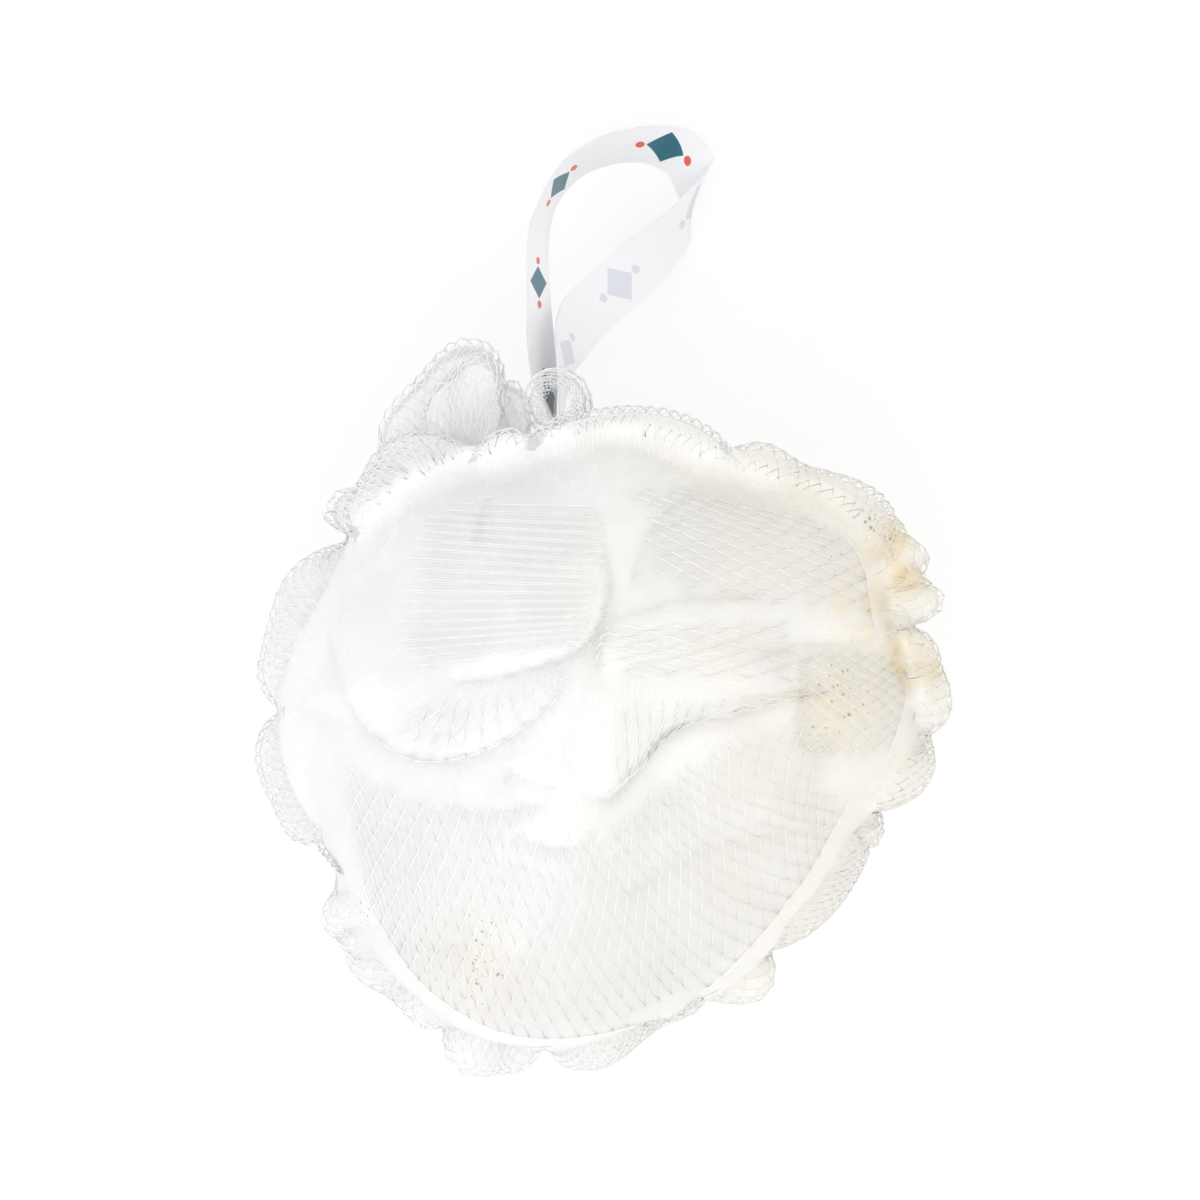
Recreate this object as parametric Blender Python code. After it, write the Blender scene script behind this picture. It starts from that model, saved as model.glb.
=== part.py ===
"""A mesh bath pouf that lies on its side, with its ribbon loop spread on the surface.

Seen from above, with +Y up the picture, the ribbon lies at the far side. The origin is
on the surface that the pouf rests on, under the middle of the ball. The netting is one
long tube of knitted net, gathered at a waist by a tie cord, and its folds stand out all
round as ruffles. A satin ribbon runs from the tie through the ruffles and forms a loop.
"""

import math
import random

import bmesh
import bpy
from mathutils import Vector

MM = 0.001

# The ball of ruffles
BALL_RADIUS = 0.070
BALL_HEIGHT = 0.110
BALL_MIDDLE_SHARE = 0.45
CORE_SHARE = 0.79

# The folds under the middle, which the weight presses together and flat on the surface
UNDERSIDE_RADIUS = 0.034
UNDERSIDE_DEPTH = 0.013

# One ruffle: its wall, how much fuller it is half way out, and the waves along its rim
RUFFLE_WALL = 0.0046
RUFFLE_FULLNESS = 0.5
RIM_WAVES = 2
RIM_WAVE_HEIGHT = 0.001
RING_WAVE_HEIGHT = 0.0025
RING_SWELL = 0.002
RING_BASE_SHARE = 0.5
RING_END_DROP = 0.09
RING_JITTER = 4
SEED = 4

# The ribbon, the tie that holds it and the way between the ruffles that it comes out of
RIBBON_WIDTH = 0.012
RIBBON_THICKNESS = 0.0005
RIBBON_GAP = 0.0006
TIE_RADIUS = 0.007
TIE_CORD_RADIUS = 0.0015
CLEARANCE = 0.0003
WAY_MOUTH = 0.006

# How finely the skin is made
FIRM_GRID = 0.0020
NETTING_TRIANGLES = 9200
STEPS_OUT = 8
STEPS_ACROSS = 14
RIBBON_STEPS = 84
TIE_STEPS_ROUND = 32
TIE_STEPS_SECTION = 8

# The drawing that the ruffle points are taken from: a ball of this radius and height
DRAWN_RADIUS = 70
DRAWN_HEIGHT = 110

# Reach of the outline seen from above: degrees from +X towards +Y, and drawing units
OUTLINE = [
    (0, 69), (14, 70), (22, 66), (31, 72), (39, 76), (49, 72), (61, 67), (67, 64), (77, 67),
    (88, 69), (104, 65), (126, 71), (139, 70), (151, 70), (165, 71), (180, 70), (189, 69),
    (198, 64), (206, 61), (214, 66), (224, 68), (234, 68), (244, 69), (252, 71), (259, 66),
    (268, 67), (278, 61), (291, 59), (303, 62), (309, 56), (322, 57), (335, 58), (347, 59),
    (355, 67), (360, 69),
]

# Ruffles placed by eye: the two ends of the gathered base, the rim, and the swell between
RUFFLES = {
    "big_pillow": (
        [(0, 41, 99), (0, 18, 106)],
        [(-17, 46, 97), (-36, 44, 88), (-50, 35, 82), (-54, 20, 85), (-47, 8, 92), (-33, 9, 100)],
        11,
    ),
    "pocket_rim": (
        [(-40, 24, 82), (-6, 22, 93)],
        [(-54, 17, 82), (-50, 5, 85), (-42, -2, 90), (-31, -5, 95), (-18, -1, 100), (-8, 8, 104),
         (-1, 17, 104)],
        -5,
    ),
    "top_middle": (
        [(2, 30, 96), (12, 28, 97)],
        [(-14, 50, 92), (-14, 61, 82), (-6, 67, 73), (5, 69, 70), (16, 66, 73), (25, 60, 78),
         (28, 46, 90), (22, 34, 99)],
        9,
    ),
    "upper_left": (
        [(-20, 40, 97), (-23, 47, 95)],
        [(-48, 39, 76), (-52, 48, 64), (-47, 57, 56), (-38, 62, 58), (-27, 60, 74)],
        9,
    ),
    "upper_left_inner": (
        [(-10, 42, 98), (-16, 43, 98)],
        [(-27, 49, 90), (-26, 58, 80), (-18, 62, 78), (-11, 57, 88)],
        6,
    ),
    "ear": (
        [(-36, 48, 60), (-20, 56, 62)],
        [(-46, 59, 54), (-43, 69, 51), (-37, 77, 49), (-30, 82, 48), (-23, 82, 49), (-20, 74, 53)],
        5,
    ),
    "ear_fold": (
        [(-32, 54, 66), (-22, 57, 66)],
        [(-36, 68, 58), (-30, 77, 56), (-23, 79, 58), (-20, 70, 64)],
        3,
    ),
    "upper_right": (
        [(14, 30, 97), (22, 26, 97)],
        [(24, 59, 76), (33, 60, 70), (42, 57, 68), (50, 54, 66), (57, 50, 62), (61, 46, 62),
         (60, 36, 70)],
        8,
    ),
    "right_high": (
        [(38, 38, 82), (44, 27, 82)],
        [(57, 47, 58), (63, 43, 55), (66, 37, 56), (63, 32, 62)],
        5,
    ),
    "right_curl_high": (
        [(46, 31, 74), (50, 24, 74)],
        [(61, 37, 64), (68, 33, 60), (69, 28, 60), (62, 25, 66)],
        4,
    ),
    "right_curl_middle": (
        [(48, 19, 76), (48, 6, 76)],
        [(60, 23, 64), (68, 19, 58), (70, 12, 55), (69, 4, 57), (60, 0, 64)],
        6,
    ),
    "right_tongue": (
        [(56, 24, 72), (56, 12, 74)],
        [(38, 28, 92), (20, 27, 101), (6, 22, 107), (0, 15, 109), (2, 8, 108), (11, 3, 106),
         (24, 5, 102), (40, 9, 93)],
        5,
    ),
    "tongue_back": (
        [(44, 8, 86), (46, 0, 86)],
        [(12, 10, 100), (3, 6, 102), (3, -2, 103), (9, -6, 104), (18, -3, 103), (32, -4, 96)],
        4,
    ),
    "right_low": (
        [(28, -1, 92), (32, -9, 91)],
        [(60, 6, 68), (67, 2, 58), (68, -4, 54), (62, -11, 56), (50, -14, 66)],
        8,
    ),
    "right_low_tuck": (
        [(40, -12, 68), (42, -17, 66)],
        [(54, -12, 57), (58, -16, 53), (55, -20, 52), (48, -20, 58)],
        3,
    ),
    "lower_right_flap": (
        [(26, -14, 88), (18, -26, 86)],
        [(48, -17, 66), (54, -21, 54), (53, -28, 47), (46, -35, 44), (37, -42, 44), (28, -43, 56)],
        7,
    ),
    "corner": (
        [(24, -34, 58), (16, -40, 56)],
        [(33, -42, 44), (35, -45, 40), (35, -51, 38), (28, -54, 38), (19, -54, 40)],
        3,
    ),
    "bottom_right": (
        [(6, -32, 84), (-2, -34, 84)],
        [(24, -46, 62), (19, -54, 50), (12, -59, 44), (5, -64, 41), (-2, -67, 40), (-9, -66, 42),
         (-11, -56, 60)],
        8,
    ),
    "bottom_curl": (
        [(-14, -44, 68), (-22, -42, 68)],
        [(-12, -62, 48), (-18, -68, 42), (-25, -69, 40), (-31, -65, 42), (-32, -57, 50)],
        7,
    ),
    "bottom_left": (
        [(-24, -36, 76), (-30, -32, 76)],
        [(-33, -60, 48), (-40, -56, 44), (-47, -50, 43), (-52, -44, 44), (-50, -37, 56)],
        6,
    ),
    "left_low": (
        [(-28, -26, 84), (-32, -20, 84)],
        [(-47, -45, 52), (-54, -42, 47), (-56, -36, 48), (-54, -29, 56)],
        6,
    ),
    "lower_left": (
        [(-16, -12, 98), (-20, -5, 98)],
        [(-34, -34, 86), (-50, -30, 69), (-57, -22, 60), (-56, -12, 68), (-44, -8, 84)],
        7,
    ),
    "left_outer_low": (
        [(-38, -8, 74), (-40, 2, 76)],
        [(-58, -21, 54), (-64, -19, 48), (-69, -12, 46), (-70, -4, 46), (-69, 4, 50), (-60, 6, 64)],
        7,
    ),
    "left_outer_high": (
        [(-40, 14, 78), (-40, 24, 78)],
        [(-68, 7, 52), (-70, 15, 48), (-69, 25, 47), (-64, 33, 48), (-58, 39, 52), (-52, 42, 60)],
        7,
    ),
    "left_nub": (
        [(-44, 42, 62), (-42, 48, 62)],
        [(-53, 43, 57), (-57, 47, 54), (-53, 51, 55), (-46, 52, 60)],
        2,
    ),
    "middle_lip_high": (
        [(-12, 4, 96), (-5, 4, 98)],
        [(-26, -7, 99), (-15, -10, 103), (-8, -8, 104), (-3, -4, 104)],
        3,
    ),
    "middle_lip_low": (
        [(-10, -7, 97), (-2, -8, 98)],
        [(-18, -19, 98), (-10, -23, 99), (-1, -21, 101), (2, -13, 103)],
        4,
    ),
    "middle_low": (
        [(4, -6, 98), (12, -8, 98)],
        [(-5, -26, 94), (4, -35, 91), (16, -38, 87), (28, -30, 88), (30, -17, 93)],
        6,
    ),
    "bottom_smooth": (
        [(2, -24, 93), (8, -24, 93)],
        [(-11, -43, 82), (-4, -55, 69), (10, -57, 63), (22, -49, 67), (26, -38, 79)],
        8,
    ),
    "bottom_left_net": (
        [(-20, -24, 92), (-13, -27, 93)],
        [(-38, -38, 78), (-37, -50, 63), (-27, -59, 54), (-16, -57, 64), (-10, -45, 80)],
        6,
    ),
}

# Rings of ruffles round the sides and the underside: degrees above the middle, how many,
# share of the outline that they reach, half their spread, slant and first angle in degrees
RINGS = [
    (20, 11, 0.93, 24, 14, 8),
    (-8, 13, 0.97, 21, -16, 0),
    (-32, 11, 1.02, 23, 15, 17),
    (-56, 8, 0.98, 30, -12, 5),
]

# The loop of the ribbon outside the ruffles, in millimetres: upper edge X and Y, lower edge
# X and Y, and the height of its middle line
RIBBON_LOOP = [
    (-14.7, 77.5, -9.4, 77.5, 41), (-15.5, 92.6, -10.7, 92.6, 33), (-15.3, 105.2, -11.1, 104.2, 24),
    (-12.6, 114, -9.5, 112.6, 17), (-7.4, 122, -4.4, 118.7, 11), (0.8, 126.8, 2.1, 121.4, 7.5),
    (10.3, 129, 8.8, 121.8, 5.6), (18.7, 128.1, 13.9, 119.5, 4.2), (23.1, 123.5, 15.8, 115.7, 3.6),
    (22.7, 120.5, 17.9, 110.9, 4), (15.8, 112.6, 18.7, 105.2, 6), (9.2, 107.5, 14.9, 99.3, 10),
    (0.8, 101.4, 8.2, 91.6, 17), (-6.5, 95.3, 0.8, 84.4, 25), (-9.2, 89, -3.2, 80.5, 33),
    (-9.2, 80, -6.2, 76.5, 40),
]

# The rolled ruffle over the ribbon, and the way of the ribbon from the waist: drawing units
ROLL_MIDDLE = (-9, 70, 65)
ROLL_RADIUS = 7
TIE_PLACE = (-2, 5, 50)
WAY_INNER = (-3, 14, 50)
WAY_OUTER = (-10, 74, 44)
RIBBON_TURNS_AT = 64
WAY_WIDENS_AT = 58
WAY_ENDS_AT = 84


def placed(point):
    """Carries a point of the drawing to the real ball."""
    x, y, z = point
    return Vector((
        x / DRAWN_RADIUS * BALL_RADIUS,
        y / DRAWN_RADIUS * BALL_RADIUS,
        z / DRAWN_HEIGHT * BALL_HEIGHT,
    ))


BALL_MIDDLE = Vector((0, 0, BALL_MIDDLE_SHARE * BALL_HEIGHT))
TIE_MIDDLE = placed(TIE_PLACE)
WAY_START = placed(WAY_INNER)
WAY_END = placed(WAY_OUTER)


def remove_everything():
    for thing in list(bpy.data.objects):
        bpy.data.objects.remove(thing, do_unlink=True)


def finish_material(name, colour, roughness):
    material = bpy.data.materials.new(name)
    material.use_nodes = True
    shader = material.node_tree.nodes["Principled BSDF"]
    shader.inputs["Base Color"].default_value = (*colour, 1)
    shader.inputs["Roughness"].default_value = roughness
    shader.inputs["Metallic"].default_value = 0
    return material


def object_from(bm, name, material):
    mesh = bpy.data.meshes.new(name)
    bm.to_mesh(mesh)
    bm.free()
    thing = bpy.data.objects.new(name, mesh)
    bpy.context.collection.objects.link(thing)
    mesh.materials.append(material)
    return thing


def smooth_curve(points, share):
    """The point at a share of the way along a smooth curve through the points."""
    spans = len(points) - 1
    place = min(share * spans, spans - 1e-6)
    i = int(place)
    t = place - i
    p1, p2 = points[i], points[i + 1]
    p0 = points[i - 1] if i > 0 else p1 * 2 - p2
    p3 = points[i + 2] if i + 2 <= spans else p2 * 2 - p1
    return 0.5 * (
        2 * p1 + (p2 - p0) * t + (2 * p0 - 5 * p1 + 4 * p2 - p3) * t ** 2
        + (3 * p1 - p0 - 3 * p2 + p3) * t ** 3
    )


def outline_reach(angle):
    """How far the outline reaches at an angle in degrees, in metres."""
    angle %= 360
    for (a0, r0), (a1, r1) in zip(OUTLINE, OUTLINE[1:]):
        if a0 <= angle <= a1:
            return (r0 + (r1 - r0) * (angle - a0) / (a1 - a0)) / DRAWN_RADIUS * BALL_RADIUS
    return BALL_RADIUS


def ruffle_rows(base, rim, swell, waves, wave_height):
    """Points of one fold of net in rows, from its gathered base to its waved rim."""
    rows = []
    for i in range(STEPS_OUT + 1):
        u = i / STEPS_OUT
        row = []
        for j in range(STEPS_ACROSS + 1):
            v = j / STEPS_ACROSS
            point = base[0].lerp(base[1], v).lerp(smooth_curve(rim, v), u)
            out = (point - BALL_MIDDLE).normalized()
            wave = wave_height * u * u * math.sin(math.tau * waves * v)
            row.append(point + out * (swell * 4 * u * (1 - u) + wave))
        rows.append(row)
    return rows


def row_normal(rows, i, j):
    """Direction square to a grid of points at one of them."""
    along = rows[min(i + 1, len(rows) - 1)][j] - rows[max(i - 1, 0)][j]
    across = rows[i][min(j + 1, len(rows[i]) - 1)] - rows[i][max(j - 1, 0)]
    return across.cross(along).normalized()


def add_slab(bm, rows, half_wall):
    """A closed slab whose middle is a grid of points; half_wall gives half its thickness."""
    last_i, last_j = len(rows) - 1, len(rows[0]) - 1
    sides = []
    for side in (1, -1):
        sides.append([
            [bm.verts.new(p + row_normal(rows, i, j) * side * half_wall(i / last_i))
             for j, p in enumerate(row)]
            for i, row in enumerate(rows)
        ])
    top, under = sides
    for i in range(last_i):
        for j in range(last_j):
            bm.faces.new((top[i][j], top[i][j + 1], top[i + 1][j + 1], top[i + 1][j]))
            bm.faces.new((under[i][j], under[i + 1][j], under[i + 1][j + 1], under[i][j + 1]))
    for j in range(last_j):
        bm.faces.new((top[0][j], under[0][j], under[0][j + 1], top[0][j + 1]))
        bm.faces.new((top[last_i][j + 1], under[last_i][j + 1], under[last_i][j], top[last_i][j]))
    for i in range(last_i):
        bm.faces.new((top[i + 1][0], under[i + 1][0], under[i][0], top[i][0]))
        bm.faces.new((top[i][last_j], under[i][last_j], under[i + 1][last_j], top[i + 1][last_j]))


def add_ruffle(bm, base, rim, swell, waves, wave_height):
    """One fold of net as a slab, fullest half way out."""
    rows = ruffle_rows(base, rim, swell, waves, wave_height)
    add_slab(bm, rows, lambda u: RUFFLE_WALL / 2 * (1 + RUFFLE_FULLNESS * math.sin(math.pi * u)))


def ring_ruffle(angle, height_angle, share, spread, slant):
    """Base and rim of a ruffle in a ring round the ball."""
    def at(around, above, reach):
        level = math.radians(above)
        turn = math.radians(around)
        plan = outline_reach(around) * reach * math.cos(level)
        rise = BALL_HEIGHT * (1 - BALL_MIDDLE_SHARE) * reach * math.sin(level)
        return BALL_MIDDLE + Vector((plan * math.cos(turn), plan * math.sin(turn), rise))

    rim = [
        at(angle + spread * t, height_angle + slant * t, share - RING_END_DROP * t * t)
        for t in (-1, -0.6, -0.2, 0.2, 0.6, 1)
    ]
    base = [
        at(angle + spread / 2 * t, height_angle + slant * t, RING_BASE_SHARE) for t in (-1, 1)
    ]
    return base, rim


def add_ellipsoid(bm, middle, radii, level):
    made = bmesh.ops.create_icosphere(bm, subdivisions=level, radius=1)
    for vert in made["verts"]:
        vert.co = middle + Vector(tuple(c * r for c, r in zip(vert.co, radii)))


def largest_body(mesh):
    """Leaves only the largest connected shell of a mesh."""
    bm = bmesh.new()
    bm.from_mesh(mesh)
    bm.faces.ensure_lookup_table()
    unseen = set(bm.faces)
    shells = []
    while unseen:
        shell = {unseen.pop()}
        front = list(shell)
        while front:
            near = {g for e in front.pop().edges for g in e.link_faces} & unseen
            unseen -= near
            shell |= near
            front.extend(near)
        shells.append(shell)
    keep = max(shells, key=len)
    bmesh.ops.delete(bm, geom=[f for f in bm.faces if f not in keep], context="FACES")
    bm.to_mesh(mesh)
    bm.free()


def evaluated_copy(thing):
    graph = bpy.context.evaluated_depsgraph_get()
    return bpy.data.meshes.new_from_object(thing.evaluated_get(graph))


def build_ruffles(material):
    """Ruffles and the full core that they stand on, as many closed bodies in one object."""
    chance = random.Random(SEED)
    bm = bmesh.new()
    core_plan = CORE_SHARE * BALL_RADIUS
    core_rise = CORE_SHARE * BALL_HEIGHT * (1 - BALL_MIDDLE_SHARE)
    add_ellipsoid(bm, BALL_MIDDLE, (core_plan, core_plan, core_rise), 4)
    underside = (UNDERSIDE_RADIUS, UNDERSIDE_RADIUS, UNDERSIDE_DEPTH)
    add_ellipsoid(bm, Vector((0, 0, 0.8 * UNDERSIDE_DEPTH)), underside, 4)
    add_ellipsoid(bm, placed(ROLL_MIDDLE), [ROLL_RADIUS / DRAWN_RADIUS * BALL_RADIUS] * 3, 3)
    for base, rim, swell in RUFFLES.values():
        swell_size = swell / DRAWN_HEIGHT * BALL_HEIGHT
        ends, edge = [placed(p) for p in base], [placed(p) for p in rim]
        add_ruffle(bm, ends, edge, swell_size, RIM_WAVES, RIM_WAVE_HEIGHT)
    for height_angle, count, share, spread, slant, first in RINGS:
        for k in range(count):
            angle = first + 360 * k / count + chance.uniform(-RING_JITTER, RING_JITTER)
            base, rim = ring_ruffle(angle, height_angle, share, spread, slant)
            add_ruffle(bm, base, rim, RING_SWELL, chance.choice((1, 2)), RING_WAVE_HEIGHT)
    return object_from(bm, "netting", material)


def build_netting(material):
    """The gathered netting as one body, with its flat underside and the ribbon's way in."""
    netting = build_ruffles(material)
    remesh = netting.modifiers.new("skin", "REMESH")
    remesh.mode = "VOXEL"
    remesh.voxel_size = FIRM_GRID
    skin = evaluated_copy(netting)
    netting.modifiers.clear()
    netting.data = skin
    largest_body(skin)
    thin = netting.modifiers.new("thin", "DECIMATE")
    thin.ratio = min(1, NETTING_TRIANGLES / sum(len(p.vertices) - 2 for p in skin.polygons))
    for cutter in (build_surface_cutter(), build_tie_channel(), build_ribbon_way()):
        cut = netting.modifiers.new(cutter.name, "BOOLEAN")
        cut.operation = "DIFFERENCE"
        cut.object = cutter
    skin.shade_smooth()
    return netting


def as_cutter(bm, name):
    mesh = bpy.data.meshes.new(name)
    bmesh.ops.recalc_face_normals(bm, faces=bm.faces)
    bm.to_mesh(mesh)
    bm.free()
    cutter = bpy.data.objects.new(name, mesh)
    bpy.context.collection.objects.link(cutter)
    cutter.hide_render = True
    cutter.display_type = "WIRE"
    return cutter


def build_surface_cutter():
    """A block under the surface that the pouf's weight presses it flat against."""
    bm = bmesh.new()
    size = 4 * BALL_RADIUS
    bmesh.ops.create_cube(bm, size=size)
    bmesh.ops.translate(bm, verts=bm.verts, vec=(0, 0, -size / 2))
    return as_cutter(bm, "surface_cutter")


def add_ring(bm, middle, ring_radius, cord_radius):
    """A closed round ring of cord, lying level."""
    rows = []
    for i in range(TIE_STEPS_ROUND):
        turn = math.tau * i / TIE_STEPS_ROUND
        row = []
        for j in range(TIE_STEPS_SECTION):
            angle = math.tau * j / TIE_STEPS_SECTION
            reach = ring_radius + cord_radius * math.cos(angle)
            spot = Vector((reach * math.cos(turn), reach * math.sin(turn),
                           cord_radius * math.sin(angle)))
            row.append(bm.verts.new(middle + spot))
        rows.append(row)
    for i, row in enumerate(rows):
        after = rows[(i + 1) % TIE_STEPS_ROUND]
        for j in range(TIE_STEPS_SECTION):
            k = (j + 1) % TIE_STEPS_SECTION
            bm.faces.new((row[j], after[j], after[k], row[k]))


def build_tie_channel():
    bm = bmesh.new()
    add_ring(bm, TIE_MIDDLE, TIE_RADIUS, TIE_CORD_RADIUS + CLEARANCE)
    return as_cutter(bm, "tie_channel")


def build_tie_cord(material):
    bm = bmesh.new()
    add_ring(bm, TIE_MIDDLE, TIE_RADIUS, TIE_CORD_RADIUS)
    tie = object_from(bm, "tie_cord", material)
    tie.data.shade_smooth()
    return tie


def way_middle(y):
    """The middle of the ribbon's way through the ruffles, at a distance y out from the waist."""
    share = (y - WAY_START.y) / (WAY_END.y - WAY_START.y)
    return WAY_START.lerp(WAY_END, share)


def build_ribbon_way():
    """The slot between the ruffles that the ribbon comes out of, widening at its mouth."""
    bm = bmesh.new()
    half_slot = RIBBON_GAP / 2 + RIBBON_THICKNESS + CLEARANCE
    half_tall = RIBBON_WIDTH / 2 + CLEARANCE
    start = TIE_MIDDLE.y + TIE_RADIUS
    mouth = placed((0, WAY_WIDENS_AT, 0)).y
    outside = placed((0, WAY_ENDS_AT, 0)).y
    rings = []
    for y, widening in ((start, 0), (mouth, 0), (outside, WAY_MOUTH)):
        middle = way_middle(y)
        rings.append([
            bm.verts.new(middle + Vector((dx * (half_slot + widening), 0,
                                          dz * (half_tall + widening / 3))))
            for dx, dz in ((-1, -1), (1, -1), (1, 1), (-1, 1))
        ])
    for near, far in zip(rings, rings[1:]):
        for k in range(4):
            m = (k + 1) % 4
            bm.faces.new((near[k], near[m], far[m], far[k]))
    bm.faces.new(rings[0][::-1])
    bm.faces.new(rings[-1])
    return as_cutter(bm, "ribbon_way")


def ribbon_stations():
    """Upper and lower edge of the ribbon at each place along it, from the tie and back."""
    ways = []
    for side in (-1, 1):
        offset = side * (RIBBON_GAP + RIBBON_THICKNESS) / 2
        places = []
        first = TIE_MIDDLE.y + TIE_RADIUS + TIE_CORD_RADIUS + CLEARANCE
        last = placed((0, RIBBON_TURNS_AT, 0)).y
        for k in range(4):
            middle = way_middle(first + (last - first) * k / 3) + Vector((offset, 0, 0))
            half = Vector((0, 0, RIBBON_WIDTH / 2))
            places.append((middle + half, middle - half))
        ways.append(places)
    loop = []
    farther = BALL_RADIUS - DRAWN_RADIUS * MM
    for ux, uy, dx, dy, z in RIBBON_LOOP:
        upper, lower = Vector((ux, uy, 0)) * MM, Vector((dx, dy, 0)) * MM
        rise = math.sqrt(max(RIBBON_WIDTH ** 2 - (upper - lower).length ** 2, 0))
        middle = (upper + lower) / 2 + Vector((0, farther, z / DRAWN_HEIGHT * BALL_HEIGHT))
        half = (upper - lower + Vector((0, 0, rise))).normalized() * RIBBON_WIDTH / 2
        loop.append((middle + half, middle - half))
    return ways[0] + loop + ways[1][::-1]


def build_ribbon(material):
    """The flat band of ribbon, its faces a ribbon's thickness apart."""
    stations = ribbon_stations()
    uppers = [upper for upper, lower in stations]
    lowers = [lower for upper, lower in stations]
    rows = []
    for i in range(RIBBON_STEPS + 1):
        share = i / RIBBON_STEPS
        upper, lower = smooth_curve(uppers, share), smooth_curve(lowers, share)
        middle = (upper + lower) / 2
        half = (upper - lower).normalized() * RIBBON_WIDTH / 2
        rows.append([middle - half, middle + half])
    bm = bmesh.new()
    add_slab(bm, rows, lambda share: RIBBON_THICKNESS / 2)
    bmesh.ops.recalc_face_normals(bm, faces=bm.faces)
    ribbon = object_from(bm, "ribbon_loop", material)
    ribbon.data.shade_smooth()
    ribbon.data.set_sharp_from_angle(angle=math.radians(40))
    return ribbon


def main():
    remove_everything()
    net = finish_material("white_net", (0.86, 0.86, 0.85), 0.55)
    satin = finish_material("white_satin", (0.83, 0.83, 0.85), 0.35)
    cord = finish_material("white_cord", (0.80, 0.80, 0.79), 0.6)
    build_netting(net)
    build_tie_cord(cord)
    build_ribbon(satin)


main()
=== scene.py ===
"""Dresses the mesh bath pouf in knitted net, satin ribbon and cord, and sets the studio."""

import logging
import math
import random
from collections.abc import Iterator
from contextlib import contextmanager
from dataclasses import dataclass, field
from enum import Enum

import bmesh
import bpy
import numpy as np
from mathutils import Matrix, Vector, noise
from mathutils.kdtree import KDTree

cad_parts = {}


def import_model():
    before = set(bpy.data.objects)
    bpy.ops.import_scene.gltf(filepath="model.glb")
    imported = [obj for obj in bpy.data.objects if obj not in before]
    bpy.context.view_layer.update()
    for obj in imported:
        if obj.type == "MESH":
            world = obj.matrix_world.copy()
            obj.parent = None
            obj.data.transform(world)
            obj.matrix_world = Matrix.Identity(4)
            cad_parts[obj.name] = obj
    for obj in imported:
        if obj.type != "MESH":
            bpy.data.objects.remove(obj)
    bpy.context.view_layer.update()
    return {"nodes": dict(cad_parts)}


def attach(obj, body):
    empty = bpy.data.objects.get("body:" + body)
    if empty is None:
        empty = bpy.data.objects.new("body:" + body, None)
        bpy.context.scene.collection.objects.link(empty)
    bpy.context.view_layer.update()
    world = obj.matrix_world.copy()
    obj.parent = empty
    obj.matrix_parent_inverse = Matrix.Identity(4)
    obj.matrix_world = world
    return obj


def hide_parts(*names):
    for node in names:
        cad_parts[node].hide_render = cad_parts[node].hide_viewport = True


LOG = logging.getLogger("pouf")
MM = 0.001
BAKE_UV = "OFBake"
BALL_MIDDLE = np.array((0, 0, 49.5)) * MM

EYE_HEIGHT = 1445.0
EYE_PLACE = (0.0, 29.6)
DRAWN_LEVEL = 45.0

Points = list[tuple[float, float, float]]


class Side(Enum):
    """Which side of the face is asked for: the yarn on it or the layers under it."""

    YARN = "yarn"
    LAYERS = "layers"


def smooth_curve(points: np.ndarray, shares: np.ndarray) -> np.ndarray:
    """Reads a smooth curve through points.

    Args:
        points: the points that the curve passes through, one a row.
        shares: how far along the curve to read it, from 0 to 1.

    Returns:
        One point a row for each share.
    """
    spans = len(points) - 1
    padded = np.vstack([2 * points[0] - points[1], points, 2 * points[-1] - points[-2]])
    place = np.clip(shares * spans, 0, spans - 1e-6)
    i = place.astype(int)
    t = (place - i)[:, None]
    p0, p1, p2, p3 = (padded[i + k] for k in range(4))
    return 0.5 * (
        2 * p1 + (p2 - p0) * t + (2 * p0 - 5 * p1 + 4 * p2 - p3) * t ** 2
        + (3 * p1 - p0 - 3 * p2 + p3) * t ** 3
    )


def unit(vectors: np.ndarray) -> np.ndarray:
    """Scales vectors to length one."""
    return vectors / np.maximum(np.linalg.norm(vectors, axis=-1, keepdims=True), 1e-12)


def mesh_object(name: str, points: np.ndarray, faces: list, material: bpy.types.Material,
                uvs: np.ndarray | None = None) -> bpy.types.Object:
    """Makes an object from points and faces.

    Args:
        name: the piece's name.
        points: one vertex a row, in metres.
        faces: lists of vertex numbers.
        material: the finish of the whole piece.
        uvs: one map place for each vertex, or None.

    Returns:
        The new object, at the origin.
    """
    mesh = bpy.data.meshes.new(name)
    mesh.from_pydata(points.tolist(), [], faces)
    mesh.materials.append(material)
    if uvs is not None:
        layer = mesh.uv_layers.new(name=BAKE_UV)
        corners = np.empty(len(mesh.loops), dtype=np.int32)
        mesh.loops.foreach_get("vertex_index", corners)
        layer.data.foreach_set("uv", uvs[corners].ravel())
    mesh.shade_smooth()
    thing = bpy.data.objects.new(name, mesh)
    bpy.context.scene.collection.objects.link(thing)
    return thing


def apply_modifiers(thing: bpy.types.Object) -> None:
    """Bakes an object's modifiers into its mesh."""
    graph = bpy.context.evaluated_depsgraph_get()
    mesh = bpy.data.meshes.new_from_object(thing.evaluated_get(graph))
    thing.modifiers.clear()
    thing.data = mesh


@contextmanager
def edited(mesh: bpy.types.Mesh) -> Iterator[bmesh.types.BMesh]:
    """Opens a mesh for editing and writes it back."""
    bm = bmesh.new()
    bm.from_mesh(mesh)
    yield bm
    bm.to_mesh(mesh)
    bm.free()


def triangle_count(thing: bpy.types.Object) -> int:
    """Counts an object's triangles."""
    return sum(len(p.vertices) - 2 for p in thing.data.polygons)


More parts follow.
